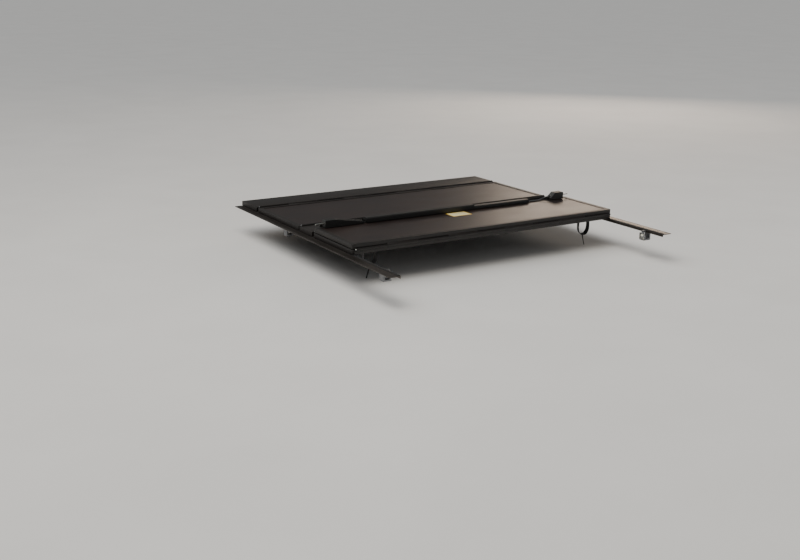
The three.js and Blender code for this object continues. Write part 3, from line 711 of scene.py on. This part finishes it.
def trough(name, span, land, rear_first, front_first, body, replaced):
    """A solid panel hollowed from below. Its underside is a grid of heights over (x, y): the panel's
    underside on its walls and its middle land, and the roof's inner face between them. A wall's inner face
    is a doubled grid line. The top is flat with an edge drawn in over a quarter circle."""
    wall, end = 5 * MM, HALF - 3 * MM
    roof = TOP - 3 * MM
    rear, front = span
    middle = (rear + front) / 2
    ys = np.array([rear, rear + wall, rear + wall, middle - land / 2, middle - land / 2, middle + land / 2,
                   middle + land / 2, front - wall, front - wall, front])
    deep_y = np.array([0, 0, 1, 1, 0, 0, 1, 1, 0, 0])
    xs = np.concatenate([[-HALF, -end], np.linspace(-end, end, 9), [end, HALF]])
    deep_x = np.array([0, 0] + [1] * 9 + [0, 0])
    under = np.where(deep_x[:, None] * deep_y > 0, roof, UNDER)
    ease = 1.2 * MM
    turn = np.linspace(0, math.pi / 2, 4)
    draw, lift = ease * np.cos(turn), TOP - ease + ease * np.sin(turn)
    rows = []
    for x, heights in zip(xs, under):
        lower = np.stack([np.full(10, x), ys, heights], -1)
        rise = np.stack([np.full(4, x), front - ease + draw, lift], -1)
        fall = np.stack([np.full(4, x), rear + ease - draw[::-1], lift[::-1]], -1)
        rows.append(np.concatenate([lower, rise, fall]))
    made = rings(name, np.array(rows))
    placed(made, body, COAT_X, replaced, slot="black_aluminium")
    knuckles = knuckle_row(name + "_rear_knuckles", rear, -1, rear_first)
    placed(knuckles, body, COAT_X, slot="black_aluminium")
    if front_first is not None:
        knuckles = knuckle_row(name + "_front_knuckles", front, 1, front_first)
        placed(knuckles, body, COAT_X, slot="black_aluminium")


trough("header_casting", HEADER, 44 * MM, 0, None, "root", "header_panel")
trough("spacer_extrusion", SPACER, 4 * MM, 0, 1, "spacer", "spacer_panel")

# ---- rails and seals on the bed ----


def side_rail(side, sign):
    """An angle section with two shallow grooves along its top, carried along Y, and the rod's cradle, a
    U-shaped (y, z) section carried along X."""
    inner, outer, thick = RAIL_INNER, RAIL_OUTER, 3 * MM
    groove, brim, bed = 0.5 * MM, 2 * MM, 1.2 * MM      # its depth, and half its width at its top and bottom
    corners = [(inner, -LIP), (inner + thick, -LIP), (inner + thick, 0), (outer, 0), (outer, RAIL_TOP)]
    radii = [0.8, 0.8, 1.2, 0.8, 0.8]
    for at in (outer - 8 * MM, inner + 24 * MM):
        corners += [(at + brim, RAIL_TOP), (at + bed, RAIL_TOP - groove), (at - bed, RAIL_TOP - groove),
                    (at - brim, RAIL_TOP)]
        radii += [0.2] * 4
    corners += [(inner, RAIL_TOP)]
    radii += [0.8]
    section = rounded(corners, np.array(radii) * MM, 3)
    y, floor, half, slot = SEAT_Y, -9.3 * MM, 18 * MM, 8 * MM
    base, arms = floor - 8 * MM, floor + 7 * MM
    cradle = rounded([(y - half, base), (y + half, base), (y + half, arms), (y + slot, arms),
                      (y + slot, floor), (y - slot, floor), (y - slot, arms), (y - half, arms)],
                     np.array([2, 2, 1.5, 1.5, 3, 3, 1.5, 1.5]) * MM, 4)
    section = section if sign > 0 else mirrored_x(section)
    rail = carried_y("rail", section, np.linspace(REAR[0], HEADER[1], 30))
    seat = carried_x("seat", cradle, sorted((sign * (inner - 30 * MM), sign * (inner + 1 * MM))))
    made = join_meshes(f"side_rail_extrusion_{side}", [rail, seat])
    placed(made, "root", ANODISED, f"side_rail_{side}", slot="satin_aluminium")


SEAT_Y = -323.3 * MM

for SIDE, SIGN in (("left", -1), ("right", 1)):
    side_rail(SIDE, SIGN)


def ribbed(low, high, base, height, ribs, rib):
    """The section of a seal: a flat foot from low to high, and a crown of ribs. A rib rises as a sine's
    half wave to the power 0.6, and the crown falls to the foot near its ends."""
    t = np.linspace(0, 1, 8 * ribs + 1)
    crown = height - rib + rib * np.abs(np.sin(math.pi * ribs * t)) ** 0.6
    shoulder = np.minimum(1, np.minimum(t, 1 - t) * 12)
    across = high + (low - high) * t
    back = np.stack([across, base + crown * shoulder], -1)[1:-1]
    return np.concatenate([[(low, base), (high, base)], back])


def seals():
    """The rail seals are ribbed strips carried along Y, and the header seal is one carried along X."""
    for side, sign in (("left", -1), ("right", 1)):
        section = ribbed(RAIL_INNER + 1 * MM, RAIL_INNER + 14 * MM, 3.3 * MM, 1.9 * MM, 3, 0.6 * MM)
        made = carried_y(f"rail_seal_strip_{side}", section if sign > 0 else mirrored_x(section),
                         np.linspace(REAR[0] + 4 * MM, HEADER[1] - 4 * MM, 30))
        placed(made, "root", RUBBER, f"rail_seal_{side}", slot="rubber")
    section = ribbed(-20 * MM, 20 * MM, 0, 5.2 * MM, 6, 1 * MM)
    made = carried_x("header_seal_strip", section, np.linspace(-790 * MM, 790 * MM, 30))
    placed(made, "root", RUBBER, "header_seal", slot="rubber")


seals()

# ---- clamps ----

CLAMP_INNER = 780 * MM
CLAMP_Y = {"rear": -1478 * MM, "front": -480 * MM}
CLAMP_BOLT_Z = -28 * MM


def clamp_bolt(end, side, sign):
    """A hexagon bolt with a flange. The head's radius at each angle is that of a hexagon, held under a
    smaller circle at its face. The shank is a helical thread, radius = root + depth * triangle(x / pitch -
    angle / turn). The square washer is a rounded plate."""
    y, z = CLAMP_Y[end], CLAMP_BOLT_Z
    washer = CLAMP_INNER - GAP - 3 * MM
    sides = 48
    angle = np.linspace(0, TAU, sides, endpoint=False)
    hexagon = 7.5 * MM * math.cos(math.pi / 6) / np.cos((angle + math.pi / 6) % (math.pi / 3) - math.pi / 6)
    face = washer - 6 * MM
    end_face, flange = np.full(sides, 5.8 * MM), np.full(sides, 8.2 * MM)
    head = [(face, end_face), (face + 0.7 * MM, np.minimum(hexagon, 7.2 * MM)), (face + 1.2 * MM, hexagon),
            (washer - 0.6 * MM, hexagon), (washer - 0.6 * MM, flange), (washer + 0.2 * MM, flange)]
    grid = np.empty((len(head), sides, 3))
    for ring, (x, radius) in zip(grid, head):
        ring[:, 0] = sign * x
        ring[:, 1] = y + radius * np.cos(angle)
        ring[:, 2] = z + radius * np.sin(angle)
    pieces = [rings("head", grid)]
    pitch, root, depth = 1.25 * MM, 3.4 * MM, 0.6 * MM
    xs = np.linspace(washer + 2.8 * MM, RAIL_INNER + 3 * MM, 160)
    phase = (xs[:, None] / pitch - angle / TAU) % 1
    radius = root + depth * (1 - np.abs(2 * phase - 1))
    radius[-1] = 3.2 * MM
    grid = np.stack([np.broadcast_to(sign * xs[:, None], radius.shape), y + radius * np.cos(angle),
                     z + radius * np.sin(angle)], -1)
    pieces.append(rings("shank", grid))
    half = 17 * MM
    plate = rounded([(-half, -half), (half, -half), (half, half), (-half, half)], 3 * MM, 5)
    small = plate * (1 - 0.5 * MM / half)
    stations = [(washer, small), (washer + 0.5 * MM, plate), (washer + 2.5 * MM, plate),
                (washer + 3 * MM, small)]
    grid = np.empty((4, len(plate), 3))
    for ring, (x, loop) in zip(grid, stations):
        ring[:] = np.stack([np.full(len(loop), sign * x), y + loop[:, 0], z + loop[:, 1]], -1)
    pieces.append(rings("washer", grid))
    made = join_meshes(f"{end}_clamp_hex_bolt_{side}", pieces)
    placed(made, "root", ZINC, f"{end}_clamp_bolt_{side}", slot="zinc")


for END in ("rear", "front"):
    for SIDE, SIGN in (("left", -1), ("right", 1)):
        clamp_bolt(END, SIDE, SIGN)
        CLAMP_NAME = f"{END}_clamp_{SIDE}"
        placed(from_frame(CLAMP_NAME, 1.2 * MM), "root", CAST, CLAMP_NAME, slot="cast_aluminium")

# ---- prop rods ----

ROD_X = 745 * MM
ROD_PIVOT = -296.25 * MM
ROD_Z = -2 * MM
ROD_FOOT = -587.4 * MM


def along_path(name, path, radius, sides=24, relief=None):
    """A tube round a path: at each point a circle in the plane across the path's direction. The circle's axes
    turn with the path by the least rotation. relief(s, angle) scales the radius."""
    path = np.asarray(path, float)
    tangent = np.gradient(path, axis=0)
    tangent /= np.linalg.norm(tangent, axis=1, keepdims=True)
    side = np.cross(tangent[0], (0.0, 0.0, 1.0) if abs(tangent[0, 2]) < 0.9 else (0.0, 1.0, 0.0))
    sides_at = []
    for t in tangent:
        side = side - t * (side @ t)
        side = side / np.linalg.norm(side)
        sides_at.append(side)
    across = np.array(sides_at)
    over = np.cross(tangent, across)
    angle = np.linspace(0, TAU, sides, endpoint=False)
    run = np.concatenate([[0], np.cumsum(np.linalg.norm(np.diff(path, axis=0), axis=1))])
    size = radius * (np.ones((len(path), sides)) if relief is None else relief(run[:, None], angle))
    grid = (path[:, None] + across[:, None] * (size * np.cos(angle))[..., None]
            + over[:, None] * (size * np.sin(angle))[..., None])
    return rings(name, grid)


def prop_rod(side, sign):
    """A bent round bar: straight along Y, a quarter bend of 10 mm, and a foot along X with a rounded end. The
    eye is a ring turned about its pivot."""
    bend = 10 * MM
    turn = np.linspace(0, math.pi / 2, 10)
    straight = np.stack([np.full(20, ROD_X), np.linspace(ROD_PIVOT - 4.5 * MM, ROD_FOOT + bend, 20),
                         np.full(20, ROD_Z)], -1)
    curve = np.stack([ROD_X + bend - bend * np.cos(turn), ROD_FOOT + bend - bend * np.sin(turn),
                      np.full(10, ROD_Z)], -1)
    foot = np.linspace(ROD_X + bend, ROD_X + 40 * MM, 8)[1:]
    foot = np.stack([foot, np.full(7, ROD_FOOT), np.full(7, ROD_Z)], -1)
    path = np.concatenate([straight, curve[1:], foot])
    path[:, 0] *= sign
    bar = along_path("bar", path, 4 * MM,
                     relief=lambda s, a: np.sqrt(np.clip((s.max() - s + 0.6 * MM) / (4 * MM), 0, 1)) + 0 * a)
    half = 7 * MM
    ease = 0.6 * MM
    profile = np.array([(-half, BORE), (-half, 5.4 * MM), (-half + ease, 6 * MM), (half - ease, 6 * MM),
                        (half, 5.4 * MM), (half, BORE)])
    angle = np.linspace(0, TAU, 36, endpoint=False)
    grid = np.empty((len(profile), len(angle), 3))
    grid[..., 0] = sign * ROD_X + profile[:, :1]
    grid[..., 1] = ROD_PIVOT + profile[:, 1:] * np.cos(angle)
    grid[..., 2] = ROD_Z + profile[:, 1:] * np.sin(angle)
    eye = rings("eye", grid, closed=True)
    made = join_meshes(f"prop_rod_bar_{side}", [bar, eye])
    placed(made, f"{side}_rod", STEEL, f"prop_rod_{side}", slot="steel", angle=50)


for SIDE, SIGN in (("left", -1), ("right", 1)):
    prop_rod(SIDE, SIGN)
    BRACKET = f"prop_rod_bracket_{SIDE}"
    placed(from_frame(BRACKET, 0.6 * MM), "front_panel", COAT_Y, BRACKET, slot="black_aluminium")

# ---- the tail of the rear panel: covers, latches, cable, seal ----

BAR_REAR = REAR[0] + 3.5 * MM
BAR_WIDTH = 38 * MM
BAR_FRONT = BAR_REAR + BAR_WIDTH
BAR_MIDDLE = BAR_REAR + BAR_WIDTH / 2
BAR_TOP = UNDER - GAP
CABLE_Z = 1.5 * MM
BOLT_Z = -14.5 * MM


def tail_cover(name, x0, x1, height, replaced):
    """A cover over the release cable: a (y, z) loop carried along X. Between its end walls the loop leaves
    side walls 2 mm thick and a roof as thick as the chamfer. In the end walls it leaves only the cable's
    notch."""
    bottom = BAR_TOP - height
    chamfer, wall = 4 * MM, 2 * MM
    outer = [(BAR_REAR, BAR_TOP), (BAR_REAR, bottom + chamfer), (BAR_REAR + chamfer, bottom),
             (BAR_FRONT - chamfer, bottom), (BAR_FRONT, bottom + chamfer), (BAR_FRONT, BAR_TOP)]
    hollow = [(BAR_FRONT - wall, BAR_TOP), (BAR_FRONT - wall, bottom + chamfer),
              (BAR_REAR + wall, bottom + chamfer), (BAR_REAR + wall, BAR_TOP)]
    notch_low = CABLE_Z - 3.5 * MM
    notch = [(BAR_MIDDLE + 3.5 * MM, BAR_TOP), (BAR_MIDDLE + 3.5 * MM, notch_low),
             (BAR_MIDDLE - 3.5 * MM, notch_low), (BAR_MIDDLE - 3.5 * MM, BAR_TOP)]
    radii = np.array([0.4, 2.5, 2.5, 2.5, 2.5, 0.4, 0.3, 0.5, 0.5, 0.3]) * MM

    def loop(inset, inner):
        """The outline drawn in from its outer faces by the inset."""
        drawn = [(min(max(y, BAR_REAR + inset), BAR_FRONT - inset), max(z, bottom + inset)) for y, z in outer]
        return rounded(drawn + inner, radii, 4)

    eased_end = [(0, loop(0.8 * MM, notch)), (0.3 * MM, loop(0.25 * MM, notch)), (0.9 * MM, loop(0, notch)),
                 (wall, loop(0, notch)), (wall, loop(0, hollow))]
    stations = [(x0 + at, outline) for at, outline in eased_end]
    stations += [(x, loop(0, hollow)) for x in np.linspace(x0 + 10 * MM, x1 - 10 * MM, 12)]
    stations += [(x1 - at, outline) for at, outline in reversed(eased_end)]
    grid = np.empty((len(stations), len(stations[0][1]), 3))
    for ring, (x, outline) in zip(grid, stations):
        ring[:, 0] = x
        ring[:, 1:] = outline
    made = fold_mesh(rings(name, grid))
    placed(made, "rear_panel", PLASTIC, replaced, slot="black_plastic")


tail_cover("tail_cover_long_bar", -530 * MM, 146 * MM, 26.7 * MM, "tail_cover_long")
tail_cover("tail_cover_short_bar", 146.6 * MM, 524 * MM, 17.7 * MM, "tail_cover_short")


def latch_bolt(side, sign):
    """A turned bolt whose tip is cut by a slanted plane: a point past the plane slides back along the axis
    until it lies on it."""
    tip, body, tail, collar_end = 820 * MM, 700 * MM, 692 * MM, 765.5 * MM
    rod, thin, collar, ease = 4 * MM, 3 * MM, 7 * MM, 0.6 * MM
    small = 0.5 * MM                                    # the collar's eased edge
    profile = [(tail, 0), (tail, thin - ease), (tail + ease, thin), (body, thin), (body, 3.6 * MM),
               (body + 0.4 * MM, rod), (collar_end - 6.5 * MM, rod), (collar_end - 6.5 * MM, collar - small),
               (collar_end - 6 * MM, collar), (collar_end - small, collar), (collar_end, collar - small),
               (collar_end, rod)]
    profile += [(x, rod) for x in np.linspace(770 * MM, tip - ease, 26)] + [(tip, rod - ease)]
    profile = np.array(profile)
    sides = 40
    angle = np.linspace(0, TAU, sides, endpoint=False)
    grid = np.empty((len(profile), sides, 3))
    grid[..., 0] = profile[:, :1]
    grid[..., 1] = BAR_MIDDLE + profile[:, 1:] * np.cos(angle)
    grid[..., 2] = BOLT_Z + profile[:, 1:] * np.sin(angle)
    slope = math.tan(math.radians(50))
    limit = tip - 4 * MM + (grid[..., 2] - (BOLT_Z - 1 * MM)) * slope
    cut = np.minimum(grid[..., 0], np.maximum(limit, 778 * MM))
    grid[..., 0] = np.where(grid[..., 0] > 768 * MM, cut, grid[..., 0])
    grid[..., 0] *= sign
    made = fold_mesh(rings(f"latch_bolt_turned_{side}", grid))
    face_out(made)
    placed(made, f"{side}_bolt", ZINC, f"latch_bolt_{side}", slot="zinc", angle=40)


def latch_spring(side, sign):
    """A round wire along a helix: five turns of even pitch."""
    t = np.linspace(0, 1, 241)
    turns, radius, wire = 5, 6 * MM, 1 * MM
    first, last = 717.3 * MM, 757.7 * MM
    angle = t * turns * TAU
    path = np.stack([sign * (first + (last - first) * t), BAR_MIDDLE + radius * np.cos(angle),
                     BOLT_Z + radius * np.sin(angle)], -1)
    made = fold_mesh(along_path(f"latch_spring_wire_{side}", path, wire, 12))
    face_out(made)
    placed(made, "rear_panel", STEEL, f"latch_spring_{side}", slot="steel", angle=60)
    seat = folded([sign * (first - wire), BAR_MIDDLE, BOLT_Z])
    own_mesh(made)


for SIDE, SIGN in (("left", -1), ("right", 1)):
    latch_bolt(SIDE, SIGN)
    latch_spring(SIDE, SIGN)
    HOUSING = f"latch_housing_{SIDE}"
    placed(from_frame(HOUSING, 0.9 * MM), "rear_panel", PLASTIC, HOUSING, slot="black_plastic")


def catmull(points, steps):
    """A smooth curve through points: on each span a cubic whose end slopes are half the chord of the
    neighbours."""
    p = np.asarray(points, float)
    p = np.concatenate([[2 * p[0] - p[1]], p, [2 * p[-1] - p[-2]]])
    t = np.linspace(0, 1, steps, endpoint=False)[:, None]
    spans = []
    for a, b, c, d in zip(p[:-3], p[1:-2], p[2:-1], p[3:]):
        square, cube = 2 * a - 5 * b + 4 * c - d, 3 * b - a - 3 * c + d
        spans.append(0.5 * (2 * b + (c - a) * t + square * t ** 2 + cube * t ** 3))
    return np.concatenate(spans + [p[-2][None]])


def release_cable():
    """Seven-strand wire rope: a tube whose radius rises and falls six times round, with a lay of 14 mm."""
    end, rise = 672.0, 120.0
    dip = [(0, 0), (0.25, 0.5), (0.6, 0.96), (1, 1)]
    left = [(-end + a * rise, BOLT_Z / MM + u * (CABLE_Z - BOLT_Z) / MM) for a, u in dip]
    route = left + [(x, CABLE_Z / MM) for x in np.linspace(-540, 540, 10)]
    route += [(-x, z) for x, z in reversed(left)]
    path = catmull([(x * MM, BAR_MIDDLE, z * MM) for x, z in route], 60)
    made = along_path("release_cable_rope", path, 2 * MM, 24,
                      lambda s, a: 0.86 + 0.14 * np.abs(np.cos(3 * (a - TAU * s / (14 * MM)))))
    fold_mesh(made)
    face_out(made)
    placed(made, "rear_panel", STEEL, "release_cable", slot="steel", angle=60)


release_cable()


def tail_seal():
    """A rubber strip on the tail's edge: a flat back with three ribs on its outer face, carried along X. A
    rib rises as the square root of a sine's half wave."""
    y1 = REAR[0] - GAP
    y0 = y1 - 3.7 * MM
    low, high = UNDER - 11.5 * MM, UNDER + 14.5 * MM
    t = np.linspace(0, 1, 41)
    face = y0 + 1.1 * MM - 1.1 * MM * np.abs(np.sin(3 * math.pi * t)) ** 0.5
    outer = np.stack([face, high - 0.8 * MM + (low - high + 1.6 * MM) * t], -1)
    section = np.concatenate([rounded([(y1, low), (y1, high), (y0 + 1.6 * MM, high)], [0, 0, 0]), outer,
                              [(y0 + 1.6 * MM, low)]])
    made = fold_mesh(carried_x("tail_seal_strip", section, np.linspace(-780 * MM, 780 * MM, 40)))
    face_out(made)
    placed(made, "rear_panel", RUBBER, "tail_seal", slot="rubber", angle=40)


tail_seal()


def label():
    """A thin sheet on the skin: a rounded rectangle at three heights, the top one drawn in slightly. Its UV
    map is in millimetres from its corner."""
    x0, y0 = -47 * MM, -919 * MM
    height = 2 * HINGE_Z - BOTTOM_SKIN
    base = rounded([(0, 0), (LABEL_LENGTH, 0), (LABEL_LENGTH, LABEL_WIDTH), (0, LABEL_WIDTH)], 4 * MM, 6)
    grid = np.empty((3, len(base), 3))
    centre = np.array([LABEL_LENGTH, LABEL_WIDTH]) / 2
    for ring, (lift, shrink) in zip(grid, ((0.12, 1), (0.3, 1), (0.35, 0.998))):
        ring[:, :2] = centre + (base - centre) * shrink + (x0, y0)
        ring[:, 2] = height + lift * MM
    made = rings("tail_label", grid)
    uv = made.data.uv_layers.new(name="label")
    corner = np.empty(len(made.data.loops), np.int32)
    made.data.loops.foreach_get("vertex_index", corner)
    co = np.empty(len(made.data.vertices) * 3)
    made.data.vertices.foreach_get("co", co)
    flat = (co.reshape(-1, 3)[corner, :2] - (x0, y0)) / MM
    uv.data.foreach_set("uv", flat.ravel())
    placed(made, "rear_panel", VINYL)


label()

# ---- straps ----

STRAP_X = 681 * MM
STRAP_Y = -1120 * MM
STRAP_WIDTH = 25 * MM


def strap(name, path, width, twist, body, replaced):
    """A flat band along a path. At each point its section is a rounded rectangle, its width along Y turned by
    the twist at that point. The width ripples by 1.2 per cent every 2.2 mm, as the weft turns at the edge."""
    path = np.asarray(path)
    tangent = np.gradient(path, axis=0)
    tangent /= np.linalg.norm(tangent, axis=1, keepdims=True)
    wide = np.broadcast_to((0.0, 1.0, 0.0), path.shape)
    thin = np.cross(tangent, wide)
    c, s = np.cos(twist)[:, None], np.sin(twist)[:, None]
    wide, thin = wide * c + thin * s, thin * c - wide * s
    run = np.concatenate([[0], np.cumsum(np.linalg.norm(np.diff(path, axis=0), axis=1))])
    half, thick = width / 2, 1 * MM
    section = rounded([(-half, -thick), (half, -thick), (half, thick), (-half, thick)], 0.9 * MM, 4)
    span = np.array([(x, -thick) for x in np.linspace(-0.8, 0.8, 9) * half])
    section = np.concatenate([section[:5], span[1:-1], section[5:10], section[10:15],
                              (span * (1, -1))[::-1][1:-1], section[15:]])
    ripple = 1 - 0.006 * (np.cos(TAU * run / (2.2 * MM)) + 1)[:, None]
    grid = (path[:, None] + wide[:, None] * (section[:, 0] * ripple)[..., None]
            + thin[:, None] * (section[:, 1] * np.ones_like(ripple))[..., None])
    made = rings(name, grid, recalc=False)
    uv = made.data.uv_layers.new(name="strap")
    corner = np.empty(len(made.data.loops), np.int32)
    made.data.loops.foreach_get("vertex_index", corner)
    ring, spot = corner // len(section), corner % len(section)
    uv.data.foreach_set("uv", np.stack([section[spot, 0] / MM, run[ring] / MM], -1).ravel())
    face_out(made)
    placed(made, body, WEBBING, replaced, slot="webbing", angle=50)


def straps():
    """A loop under each end of the middle panel, with a narrow free end below it."""
    start, half = 0.9 * MM, 34.5 * MM
    drop = start + 82 * MM
    side_shape = [(-1, 0), (-1, 0.1), (-1, 0.25), (-1, 0.5), (-0.88, 0.75), (-0.5, 0.95)]
    shape = side_shape + [(0, 1)] + [(-a, d) for a, d in reversed(side_shape)]
    tail = [(0, 0), (2, 0.28), (8, 0.6), (15, 1)]
    for side, sign in (("left", -1), ("right", 1)):
        points = [(sign * (STRAP_X + a * half), STRAP_Y, start - d * drop) for a, d in shape]
        path = catmull(points, 14)
        t = np.linspace(0, 1, len(path))
        twist = sign * math.radians(30) * np.sin(math.pi * t) * (1 - t)
        strap(f"strap_loop_webbing_{side}", path, STRAP_WIDTH, twist, "middle_panel", f"strap_loop_{side}")
        points = [(sign * (STRAP_X + a * MM), STRAP_Y, -83.6 * MM - d * 60 * MM) for a, d in tail]
        path = catmull(points, 14)
        twist = sign * math.radians(15) * np.linspace(0, 1, len(path))
        strap(f"strap_tail_webbing_{side}", path, 9 * MM, twist, "middle_panel", f"strap_tail_{side}")


straps()


def anchor(side, sign):
    """The plate that holds a strap's ends: a rounded (x, z) outline carried along Y, eased at its ends."""
    half, low, high = 46.5 * MM, 1.2 * MM, 7.5 * MM
    x = sign * STRAP_X
    outline = [(x - half, high), (x - half, low), (x + half, low), (x + half, high)]
    section = rounded(outline, np.array([0.2, 2.5, 2.5, 0.2]) * MM, 5)
    made = carried_y(f"strap_anchor_plate_{side}", section, [STRAP_Y - 15 * MM, STRAP_Y + 15 * MM])
    eased(made, 0.6 * MM, 2, 60)
    placed(made, "middle_panel", PLASTIC, f"strap_anchor_{side}", slot="black_plastic")


for SIDE, SIGN in (("left", -1), ("right", 1)):
    anchor(SIDE, SIGN)

# ---- what still shows of the frame ----

for ROW in frame["record"]["subparts"]:
    PIECE = nodes[ROW["node"]]
    PIECE.data.materials.clear()
    PIECE.data.materials.append(SLOT_MATERIAL[ROW["material_slot"]])

# ---- floor and light ----


def stage():
    """A pale painted floor: a flat grid 120 m wide."""
    reach, count = 60, 41
    run = np.linspace(-reach, reach, count)
    grid_x, grid_y = np.meshgrid(run, run, indexing="ij")
    points = np.stack([grid_x, grid_y, np.full(grid_x.shape, FLOOR_Z)], -1)
    index = np.arange(count * count).reshape(count, count)
    quads = np.stack([index[:-1, :-1], index[1:, :-1], index[1:, 1:], index[:-1, 1:]], -1).reshape(-1, 4)
    floor = mesh_from("studio_floor", points.reshape(-1, 3), quads)
    material, tree, shader, place = finish_material("pale_matt_floor_paint", Roughness=0.9)
    coloured(tree, shader, noise(tree, place, 2.0, 3.0), 0.3, 0.8, "#e6e5e2", "#ecebe8")
    floor.data.materials.append(material)
    floor.data.shade_smooth()


def area_light(name, place, target, size, energy, colour="#ffffff"):
    """A rectangular soft light at a place, facing a target."""
    data = bpy.data.lights.new(name, "AREA")
    data.shape = "RECTANGLE"
    data.size, data.size_y = size
    data.energy = energy
    data.color = linear(colour)[:3]
    light = bpy.data.objects.new(name, data)
    light.location = place
    light.rotation_euler = (Vector(target) - Vector(place)).to_track_quat("-Z", "Y").to_euler()
    bpy.context.scene.collection.objects.link(light)


def lights():
    """A large soft key over the left, a very soft even light from above that keeps the floor pale far away, a
    warm soft light behind on the right, a small fill, and a dim surround."""
    area_light("key", (-2.5, -2.0, 5.5), (0, -0.8, 0), (4.0, 4.0), 190, "#fffaf2")
    data = bpy.data.lights.new("even_top", "SUN")
    data.energy = 1.5
    data.angle = math.radians(60)
    even = bpy.data.objects.new("even_top", data)
    even.rotation_euler = (math.radians(-22), math.radians(-24), 0)
    bpy.context.scene.collection.objects.link(even)
    area_light("back_right", (5.5, 4.0, 2.2), (0.6, -0.8, 0), (2.4, 1.6), 70, "#ffe9d2")
    area_light("low_right", (4.5, -3.5, 1.2), (0.6, -1.2, 0), (2.0, 1.2), 30, "#ffffff")
    world = bpy.data.worlds.new("studio")
    world.use_nodes = True
    background = world.node_tree.nodes["Background"]
    background.inputs["Color"].default_value = linear("#eef0f2")
    background.inputs["Strength"].default_value = 0.16
    bpy.context.scene.world = world


stage()
lights()
